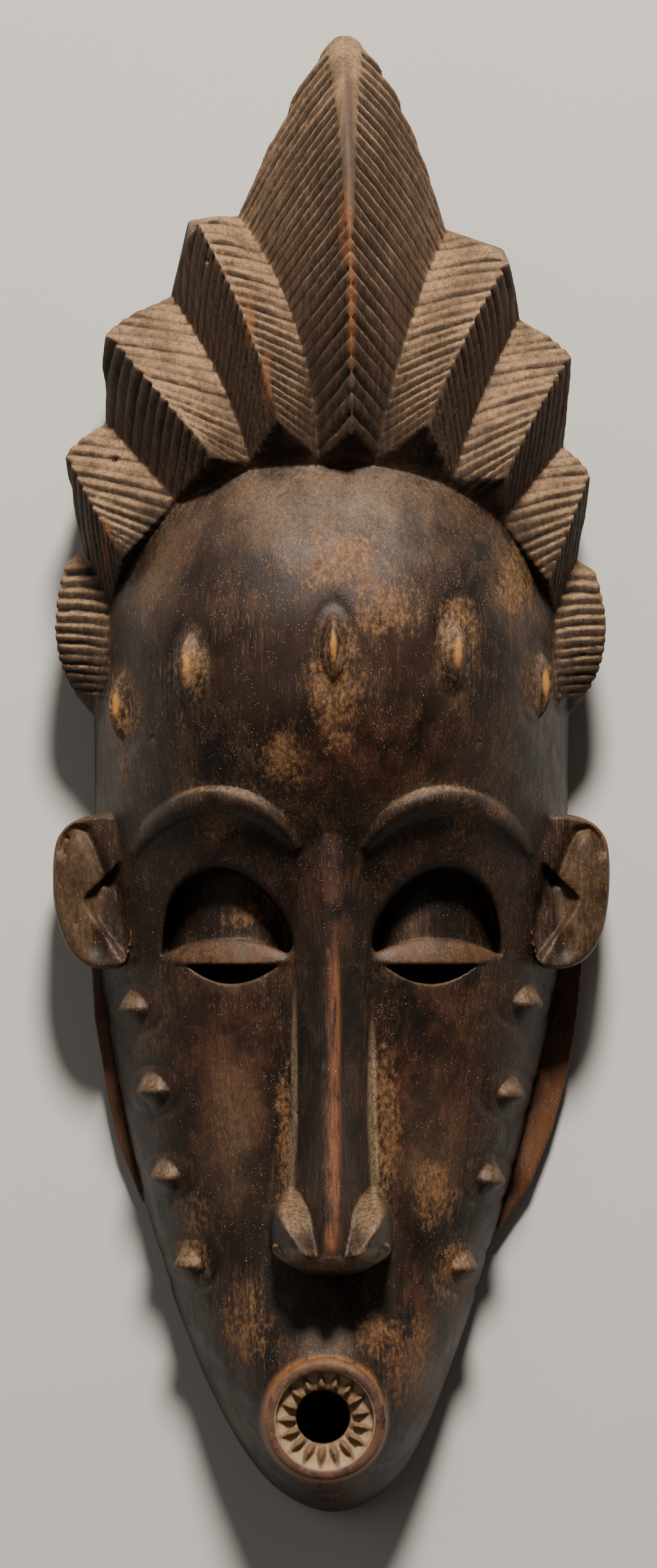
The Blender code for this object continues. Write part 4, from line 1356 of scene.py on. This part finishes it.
# Where the wood differs: (across, up, half breadth, half height) in units
# Where a pale tan film lies, partly dust and partly painted highlight: the forehead top, the mound over the
# mouth, the forehead's sides and the cheeks
FILM_AND_HIGHLIGHT_PLACES = (
    (0, 274, 36, 15), (0, 47, 9, 7), (-48, 252, 10, 16), (50, 252, 10, 16), (-27, 104, 10, 26),
    (27, 100, 9, 22),
)
RUBBED = (
    (2.0, 258, 26, 15), (0.5, 222, 13, 26), (-14, 206, 12, 14), (14, 248, 14, 16), (-12.5, 104, 4, 34),
    (15, 108, 7, 38), (22, 40, 15, 24), (-23, 50, 12, 18), (-38, 230, 7, 14), (34, 240, 9, 16),
    (-38, 72, 9, 24), (33, 64, 10, 18), (-57, 212, 7, 26), (28, 86, 10, 14), (12, 48, 9, 8), (0, 10, 18, 9),
    (-22, 162, 12, 6), (50, 252, 9, 16), (-30, 186, 14, 7), (38, 188, 14, 8),
)
REDDISH = (
    (-26, 118, 17, 30), (27, 118, 17, 34), (10, 206, 26, 14), (8, 246, 22, 18), (0, 165, 10, 22),
    (24, 50, 14, 20),
)
NOSE_RIDGE = ((0.9, 130, 2.5, 34), (0.7, 98, 2.8, 30), (0.6, 76, 3.4, 6))
DUSTY_LINES = ((-10.0, 116, 1.1, 30), (-10.9, 97, 1.2, 13), (11.0, 112, 1.6, 24), (11.6, 96, 1.5, 13))
# The nose wings, dusty and given a painted highlight on their upper sides
WINGS = ((-10.0, 81.5, 6.0, 6.5), (10.0, 81.5, 6.0, 6.5))
NOSE_EDGE = ((0.0, 68.2, 10, 2.4), (-11, 70.4, 6, 2.4), (11, 70.4, 6, 2.4))
LIDS = ((-28.2, 151.6, 18.0, 3.9), (28.2, 151.6, 18.0, 3.9))
EARS = ((-70, 168, 9.5, 24), (70, 168, 9.5, 24))
# The cheek bumps, whose upper sides get a painted highlight
BUMPS = tuple((x, y + 0.8, 4.8, 4.4) for x, y in CHEEK_BUMPS)
KELOID_RIDGES = tuple((x + 0.03 * x, y + 0.5, 1.3, 5.0) for x, y in KELOIDS)
KELOID_RINGS = tuple((x, y - 1.5, 7.2, 12.0) for x, y in KELOIDS)
# The brows, whose top edges get a painted highlight
BROWS = ((-31, 193.5, 19, 5.0), (31, 193.5, 19, 5.0), (-12, 186, 4, 5), (12, 186, 4, 5))
MOUTH_EDGE_DISC = (MOUTH_PLACE + (18.2, 18.2),)
MOUTH_LIP_DISC = (MOUTH_PLACE + (16.3, 16.3),)
MOUTH_CONE_DISC = (MOUTH_PLACE + (13.9, 13.9),)
# Painted shade on the crest: the foot of the middle lobe and the end facets along the hairline
SHADED_CREST = ((4, 300, 18, 34), (-30, 287, 8, 8), (22, 289, 8, 8), (-49, 270, 7, 8), (50, 266, 7, 8))
POLISHED_RIDGE = ((4.6, 374, 2.2, 28),)
REDDENED_RIDGE = (
    (5.5, 328, 1.6, 22), (-17.5, 306, 1.6, 12), (3.9, 348, 2.4, 14), (-22, 322, 1.6, 10), (-61, 262, 2.0, 9),
)


def dry_rubbed_wood():
    """Dark polished wood, rubbed to ochre in patches, with pale dust where it lies, painted shade in its
    hollows and grooves and painted highlight where it faces the lamp.
    """
    material = bpy.data.materials.new("dry_rubbed_wood")
    wires = Wiring(material)
    crest, creased, sheltered = wires.fact("crest"), wires.fact("creased"), wires.fact("sheltered")
    ridged, upward, behind = wires.fact("ridged"), wires.fact("upward"), wires.fact("behind")
    grooved, toothed, flange_share = wires.fact("grooved"), wires.fact("toothed"), wires.fact("flange")
    face = wires.sum("SUBTRACT", 1.0, crest)

    broad = wires.noise((0.026, 0.040, 0.026), 4.0, 0.6)
    streaks = wires.noise((0.0012, 0.022, 0.0012), 4.0, 0.65)
    fibres = wires.noise((0.00026, 0.0050, 0.00026), 3.0, 0.65)
    mottle = wires.noise((0.0065, 0.0110, 0.0065), 7.0, 0.70, 0.6)
    stains = wires.noise((0.0110, 0.0170, 0.0110), 5.0, 0.62, 0.4)
    flakes = wires.noise((0.0011, 0.0019, 0.0011), 4.0, 0.7)
    crumbs = wires.noise((0.00042, 0.00055, 0.00042), 3.0, 0.65)
    softly = wires.ramp(crumbs, 0.25, 0.60, 0.45, 1.0)

    # The dark patina, warmer and redder in broad patches, streaked along the grain
    darkest, dark = (0.0070, 0.0042, 0.0032, 1), (0.024, 0.0125, 0.0080, 1)
    colour = wires.mix(wires.ramp(broad, 0.38, 0.62), darkest, dark)
    red = wires.times(spots(wires, REDDISH, 0.0, 1.25), wires.ramp(stains, 0.36, 0.62))
    colour = wires.mix(wires.times(red, 0.75), colour, (0.075, 0.022, 0.0100, 1))
    brown = wires.ramp(wires.sum("ADD", wires.times(stains, 0.6), wires.times(streaks, 0.5)), 0.50, 0.72)
    colour = wires.mix(wires.times(brown, 0.55), colour, (0.085, 0.042, 0.021, 1))
    # A pale tan film, partly dust and partly painted highlight, at those places and on what faces up towards
    # the lamp
    film_and_highlight_reach = wires.times(spots(wires, FILM_AND_HIGHLIGHT_PLACES, 0.1, 1.25), 0.8)
    film_and_highlight_reach = wires.sum("ADD", film_and_highlight_reach, wires.ramp(upward, 0.15, 0.9, 0.0, 0.5))
    film_and_highlight = wires.times(film_and_highlight_reach, wires.ramp(stains, 0.30, 0.62, 0.3, 1.0))
    film_and_highlight = wires.times(film_and_highlight, wires.ramp(flakes, 0.28, 0.62, 0.35, 1.0), softly)
    colour = wires.mix(wires.times(film_and_highlight, 0.55), colour, (0.235, 0.150, 0.092, 1))

    # Wood rubbed bare to ochre, in ragged patches
    reach = wires.sum("ADD", wires.times(mottle, 0.52), wires.times(flakes, 0.32))
    reach = wires.sum("ADD", reach, wires.times(streaks, 0.16))
    near_rubbed = wires.sum("ADD", reach, wires.times(spots(wires, RUBBED, 0.0, 1.35), 0.25))
    rubbed = wires.times(wires.ramp(near_rubbed, 0.62, 0.80), softly)
    ochre = wires.mix(wires.ramp(flakes, 0.32, 0.68), (0.115, 0.045, 0.016, 1), (0.30, 0.160, 0.068, 1))
    colour = wires.mix(wires.times(rubbed, 0.80), colour, ochre)
    worn = wires.times(ridged, wires.ramp(mottle, 0.32, 0.58, 0.35, 1.0))
    colour = wires.mix(worn, colour, wires.mix(flakes, (0.11, 0.043, 0.018, 1), (0.32, 0.170, 0.085, 1)))

    # Places of their own: lids, ears, collars, bumps, keloids, brows, nose and mouth, with painted highlight
    # on the upper sides of the bumps, brows and nose wings and painted shade on the teeth
    tan = wires.mix(wires.ramp(flakes, 0.35, 0.65), (0.120, 0.066, 0.033, 1), (0.30, 0.195, 0.115, 1))
    lids = wires.times(spots(wires, LIDS, 0.75, 1.0), wires.ramp(mottle, 0.35, 0.6, 0.35, 1.0))
    lid_wood = wires.mix(streaks, (0.040, 0.018, 0.009, 1), (0.16, 0.068, 0.025, 1))
    colour = wires.mix(wires.times(lids, 0.8), colour, lid_wood)
    ears = wires.times(spots(wires, EARS, 0.7, 1.1), wires.ramp(reach, 0.38, 0.62, 0.25, 1.0))
    ear_wood = wires.mix(flakes, (0.070, 0.036, 0.017, 1), (0.19, 0.115, 0.058, 1))
    colour = wires.mix(wires.times(ears, 0.7), colour, ear_wood)
    flange_wood = wires.mix(streaks, (0.065, 0.024, 0.011, 1), (0.19, 0.078, 0.034, 1))
    colour = wires.mix(wires.times(flange_share, 0.9), colour, flange_wood)
    # Painted highlight: tan on the sides of the cheek bumps that face up towards the lamp
    raised = wires.times(spots(wires, BUMPS, 0.3, 1.2), wires.ramp(upward, 0.15, 0.6, 0.15, 0.85))
    # Painted highlight: a tan line along the top edge of the brows, which faces up towards the lamp
    brows = wires.times(spots(wires, BROWS, 0.5, 1.2), wires.ramp(upward, 0.42, 0.72))
    brows = wires.times(brows, wires.ramp(reach, 0.30, 0.60))
    # Dust and painted highlight in tan on the sides of the nose wings that face up towards the lamp
    wings = wires.times(spots(wires, WINGS, 0.55, 1.15), wires.ramp(upward, 0.05, 0.45), softly)
    edge = spots(wires, NOSE_EDGE, 0.5, 1.1)
    # Tan on the nose's lower edge, dust and painted highlight on the wings, painted highlight on the bumps
    # and brows
    tan_and_highlight = wires.sum("MAXIMUM", wires.sum("MAXIMUM", raised, brows), wires.sum("MAXIMUM", wings, edge))
    colour = wires.mix(wires.times(tan_and_highlight, 0.70), colour, tan)
    rings = wires.times(spots(wires, KELOID_RINGS, 0.45, 1.1), wires.ramp(reach, 0.40, 0.62))
    colour = wires.mix(wires.times(rings, 0.5), colour, tan)
    keloids = wires.times(spots(wires, KELOID_RIDGES, 0.3, 1.0), wires.ramp(flakes, 0.3, 0.6, 0.6, 1.0))
    colour = wires.mix(wires.times(keloids, 0.92), colour, (0.48, 0.225, 0.058, 1))
    nose_ridge = wires.times(spots(wires, NOSE_RIDGE, 0.35, 1.0), wires.ramp(streaks, 0.34, 0.60, 0.15, 1.0))
    colour = wires.mix(wires.times(nose_ridge, softly, 0.85), colour, (0.23, 0.082, 0.034, 1))
    mouth_edge = wires.times(spots(wires, MOUTH_EDGE_DISC, 0.93, 1.02), wires.ramp(mottle, 0.40, 0.56))
    colour = wires.mix(wires.times(mouth_edge, 0.8), colour, (0.27, 0.105, 0.030, 1))
    lip = wires.times(spots(wires, MOUTH_LIP_DISC, 0.95, 1.0), face)
    lip_wood = wires.mix(wires.ramp(mottle, 0.35, 0.65), (0.052, 0.026, 0.020, 1), (0.135, 0.072, 0.045, 1))
    colour = wires.mix(wires.times(lip, 0.9), colour, lip_wood)
    cone = spots(wires, MOUTH_CONE_DISC, 0.96, 1.0)
    floor_wood = wires.mix(flakes, (0.27, 0.175, 0.105, 1), (0.48, 0.345, 0.225, 1))
    # Painted shade: the teeth are painted darker than the pale floor between them
    shaded_tooth_wood = wires.mix(flakes, (0.105, 0.060, 0.030, 1), (0.24, 0.145, 0.078, 1))
    colour = wires.mix(wires.times(cone, 0.95), colour, wires.mix(toothed, floor_wood, shaded_tooth_wood))

    # Pale dust in the creases, specks and short scratches
    lines = wires.times(spots(wires, DUSTY_LINES, 0.4, 1.1), wires.ramp(flakes, 0.3, 0.55, 0.3, 1.0))
    kept_clean = wires.sum("MAXIMUM", wires.sum("MAXIMUM", lip, cone), spots(wires, EARS, 0.9, 1.1))
    plain = wires.sum("SUBTRACT", 1.0, kept_clean)
    settled = wires.times(creased, wires.ramp(broad, 0.30, 0.65, 0.05, 0.75))
    settled = wires.times(settled, wires.ramp(flakes, 0.4, 0.65), plain)
    dust = wires.times(wires.sum("MAXIMUM", lines, settled), wires.ramp(crumbs, 0.30, 0.60, 0.3, 1.0), face)
    colour = wires.mix(wires.times(dust, 0.85), colour, (0.38, 0.27, 0.165, 1))
    specks = wires.ramp(wires.dots((0.0008, 0.0009, 0.0008)), 0.09, 0.19, 1.0, 0.0)
    specks = wires.times(specks, wires.ramp(wires.noise((0.0040, 0.0050, 0.0040), 4.0), 0.44, 0.62))
    large = wires.ramp(wires.dots((0.0031, 0.0034, 0.0031)), 0.04, 0.075, 1.0, 0.0)
    large = wires.times(large, wires.ramp(wires.noise((0.012, 0.012, 0.012), 4.0), 0.48, 0.62))
    specks = wires.times(wires.sum("MAXIMUM", specks, large), face)
    colour = wires.mix(wires.times(specks, 0.7), colour, (0.46, 0.36, 0.26, 1))
    scratches = wires.times(wires.ramp(fibres, 0.56, 0.68), wires.ramp(stains, 0.38, 0.6), face, plain)
    colour = wires.mix(wires.times(scratches, 0.6), colour, (0.21, 0.140, 0.092, 1))
    shade = wires.times(wires.ramp(sheltered, 0.25, 0.95), plain, 0.6)
    colour = wires.mix(shade, colour, (0.0060, 0.0038, 0.0028, 1))

    # The crest: painted shade in the grooves and where it is sheltered, pale powder and painted light on
    # what faces up towards the lamp, worn ridges lightened as painted highlight, polished and reddened on
    # ridges
    darker, lighter = (0.020, 0.0110, 0.0068, 1), (0.066, 0.037, 0.021, 1)
    crest_wood = wires.mix(wires.ramp(streaks, 0.35, 0.7), darker, lighter)
    # Pale powder and painted light on what faces up towards the lamp, brightest on the groove walls that
    # face it
    faces_up = wires.sum("ADD", upward, wires.times(wires.sum("SUBTRACT", mottle, 0.5), 0.5))
    powder_and_light = wires.times(wires.ramp(faces_up, 0.10, 0.62, 0.06, 0.95), softly)
    powder_and_light = wires.times(powder_and_light, wires.ramp(flakes, 0.28, 0.6, 0.4, 1.0))
    powder_and_light = wires.times(powder_and_light, wires.ramp(stains, 0.34, 0.60, 0.50, 1.0))
    # Less powder and painted light there, as painted shade
    powder_and_light = wires.times(powder_and_light, wires.ramp(spots(wires, SHADED_CREST), 0.0, 1.0, 1.0, 0.35))
    crest_wood = wires.mix(powder_and_light, crest_wood, (0.39, 0.245, 0.135, 1))
    # Worn ridges, lightened as painted highlight
    edges = wires.times(ridged, wires.ramp(crumbs, 0.3, 0.6, 0.05, 0.4))
    crest_wood = wires.mix(edges, crest_wood, (0.40, 0.26, 0.15, 1))
    # Painted shade in the grooves, weaker on the walls that face up towards the lamp
    groove_shade = wires.times(wires.ramp(grooved, 0.15, 0.70), wires.ramp(upward, 0.35, 0.80, 1.0, 0.45))
    crest_wood = wires.mix(wires.times(groove_shade, 0.90), crest_wood, (0.0125, 0.0070, 0.0045, 1))
    crest_shade = wires.times(wires.ramp(sheltered, 0.3, 1.0), 0.6)
    crest_wood = wires.mix(crest_shade, crest_wood, (0.010, 0.0058, 0.0038, 1))
    polished = spots(wires, POLISHED_RIDGE)
    crest_wood = wires.mix(wires.times(polished, 0.9), crest_wood, (0.060, 0.036, 0.027, 1))
    reddened = wires.times(spots(wires, REDDENED_RIDGE), wires.ramp(flakes, 0.35, 0.6, 0.2, 1.0))
    crest_wood = wires.mix(wires.times(reddened, 0.85), crest_wood, (0.20, 0.075, 0.027, 1))
    colour = wires.mix(crest, colour, crest_wood)

    # The unpolished back and hollow
    bare = wires.mix(streaks, (0.085, 0.048, 0.027, 1), (0.20, 0.125, 0.072, 1))
    colour = wires.mix(wires.times(behind, 0.85), colour, bare)
    wires.join(colour, wires.surface.inputs["Base Color"])

    rough = wires.ramp(mottle, 0.35, 0.65, 0.43, 0.58)
    dull = wires.sum("MAXIMUM", wires.times(crest, wires.sum("SUBTRACT", 1.0, polished)), behind)
    rough = wires.sum("ADD", rough, wires.times(dull, 0.28))
    dry = wires.sum("MAXIMUM", wires.sum("MAXIMUM", dust, cone), wires.times(rubbed, 0.6))
    rough = wires.sum("ADD", rough, wires.times(dry, 0.2))
    wires.join(rough, wires.surface.inputs["Roughness"])
    wires.surface.inputs["Specular IOR Level"].default_value = 0.32
    wires.surface.inputs["IOR"].default_value = 1.5

    height = wires.sum("ADD", wires.times(fibres, 0.5), wires.times(streaks, 0.6))
    height = wires.sum("ADD", height, wires.times(crumbs, wires.ramp(crest, 0.0, 1.0, 0.3, 0.9)))
    height = wires.sum("ADD", height, wires.times(flakes, 0.6))
    bump = wires.tree.nodes.new("ShaderNodeBump")
    bump.inputs["Strength"].default_value = 0.6
    bump.inputs["Distance"].default_value = 0.00028
    wires.join(height, bump.inputs["Height"])
    wires.join(bump.outputs["Normal"], wires.surface.inputs["Normal"])
    return material


def floor_material():
    """Plain pale floor with the faintest unevenness."""
    material = bpy.data.materials.new("pale_floor")
    wires = Wiring(material)
    cloudy = wires.noise((0.25, 0.25, 0.25), 3.0, 0.5)
    pale = wires.mix(cloudy, (0.60, 0.60, 0.59, 1), (0.64, 0.64, 0.63, 1))
    wires.join(pale, wires.surface.inputs["Base Color"])
    wires.join(wires.ramp(cloudy, 0.2, 0.8, 0.80, 0.88), wires.surface.inputs["Roughness"])
    return material


def add_floor():
    """The floor that the mask lies on."""
    half = 3.0
    mesh = bpy.data.meshes.new("floor")
    corners = [(-half, -half, 0), (half, -half, 0), (half, half, 0), (-half, half, 0)]
    mesh.from_pydata(corners, [], [(0, 1, 2, 3)])
    floor = bpy.data.objects.new("floor", mesh)
    bpy.context.scene.collection.objects.link(floor)
    floor.data.materials.append(floor_material())


def add_light(name, place_at, aim, energy, size, colour):
    """A soft round light that shines from one place towards another."""
    data = bpy.data.lights.new(name, "AREA")
    data.energy = energy
    data.shape = "DISK"
    data.size = size
    data.color = colour
    light = bpy.data.objects.new(name, data)
    light.location = place_at
    towards = mathutils.Vector(aim) - mathutils.Vector(place_at)
    light.rotation_euler = towards.to_track_quat("-Z", "Y").to_euler()
    bpy.context.scene.collection.objects.link(light)


def add_camera():
    """Straight above the mask, with the crest at the top of the picture."""
    data = bpy.data.cameras.new("camera")
    camera = bpy.data.objects.new("camera", data)
    camera.location = (-0.0008, -0.0024, CAMERA_HEIGHT)
    data.sensor_fit = "VERTICAL"
    data.angle = 2 * math.atan(HALF_VIEW / (CAMERA_HEIGHT - FACE_MIDDLE))
    bpy.context.scene.collection.objects.link(camera)
    bpy.context.scene.camera = camera


def unseen(units):
    """Which points lie in the hollow behind the face, or on the flat rim."""
    shift, half = at_heights(axis_shift, units), at_heights(half_width, units)
    deep = at_heights(face_depth, units)
    share = np.abs(units[:, 0] - shift) / half
    curve = np.clip(1 - np.minimum(share, 0.995) ** ROUNDNESS, 0, 1) ** (1 / ROUNDNESS)
    in_hollow = (share < 0.95) & (units[:, 1] < 270) & (units[:, 2] < curve * deep - THINNEST_WALL)
    return in_hollow | (units[:, 2] < RIM_NEAR)


def drop_specks(mesh):
    """Takes out the specks that remeshing leaves loose inside the wood."""
    skin = Skin(mesh)
    a, b = skin.edges[:, 0], skin.edges[:, 1]
    shell_of, settled = np.arange(len(skin.points)), False
    while not settled:
        lowest = np.minimum(shell_of[a], shell_of[b])
        joined = shell_of.copy()
        np.minimum.at(joined, a, lowest)
        np.minimum.at(joined, b, lowest)
        joined = joined[joined]
        settled = np.array_equal(joined, shell_of)
        shell_of = joined
    loose = shell_of != np.bincount(shell_of).argmax()
    shape = bmesh.new()
    shape.from_mesh(mesh)
    shape.verts.ensure_lookup_table()
    bmesh.ops.delete(shape, geom=[shape.verts[i] for i in np.flatnonzero(loose).tolist()], context="VERTS")
    shape.to_mesh(mesh)
    shape.free()


def make_mask():
    """The finished mask, on the frame's body."""
    block = carved_block()
    mesh = evaluated_mesh(block)
    for helper in [o for o in bpy.data.objects if o.name == block.name or o.hide_viewport]:
        bpy.data.objects.remove(helper)
    skin = Skin(mesh)
    weather(skin)
    pits(skin)
    skin.points = keep_in(skin.points, cad_box)
    skin.store()
    store_fact(mesh, "ridged", ridged(skin))
    mesh.name = "mask_carving"
    carving = bpy.data.objects.new("mask_carving", mesh)
    bpy.context.scene.collection.objects.link(carving)
    triangles = sum(len(face.vertices) - 2 for face in mesh.polygons)
    hidden = unseen(to_units(skin.points))
    group = carving.vertex_groups.new(name="unseen")
    group.add(np.flatnonzero(~hidden).tolist(), SEEN_SHARE, "REPLACE")
    group.add(np.flatnonzero(hidden).tolist(), 1.0, "REPLACE")
    thin = carving.modifiers.new("thin", "DECIMATE")
    thin.ratio = min(1.0, TRIANGLES / triangles)
    thin.vertex_group = group.name
    thin.vertex_group_factor = THINNING
    light_mesh = evaluated_mesh(carving)
    drop_specks(light_mesh)
    carving.modifiers.clear()
    carving.data = light_mesh
    thinned = Skin(light_mesh)
    thinned.points = keep_in(thinned.points, cad_box)
    thinned.store()
    light_mesh.polygons.foreach_set("use_smooth", np.ones(len(light_mesh.polygons), bool))
    surface_facts(light_mesh)
    light_mesh.materials.clear()
    light_mesh.materials.append(dry_rubbed_wood())
    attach(carving, "root")
    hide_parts("mask")
    return carving


def add_studio():
    """A warm lamp beyond the crest, a weak one from the side, and a faint warm room."""
    aim = (0, 0, 0.04)
    add_light("key", (0.10, 1.35, 1.30), aim, 66.0, 0.36, (1.0, 0.92, 0.82))
    add_light("fill", (-0.9, 0.2, 1.6), aim, 2.5, 1.2, (1.0, 0.95, 0.90))
    world = bpy.data.worlds.new("studio")
    bpy.context.scene.world = world
    world.use_nodes = True
    background = world.node_tree.nodes["Background"]
    background.inputs["Color"].default_value = (0.68, 0.62, 0.56, 1)
    background.inputs["Strength"].default_value = 0.10


make_mask()
add_floor()
add_studio()
add_camera()
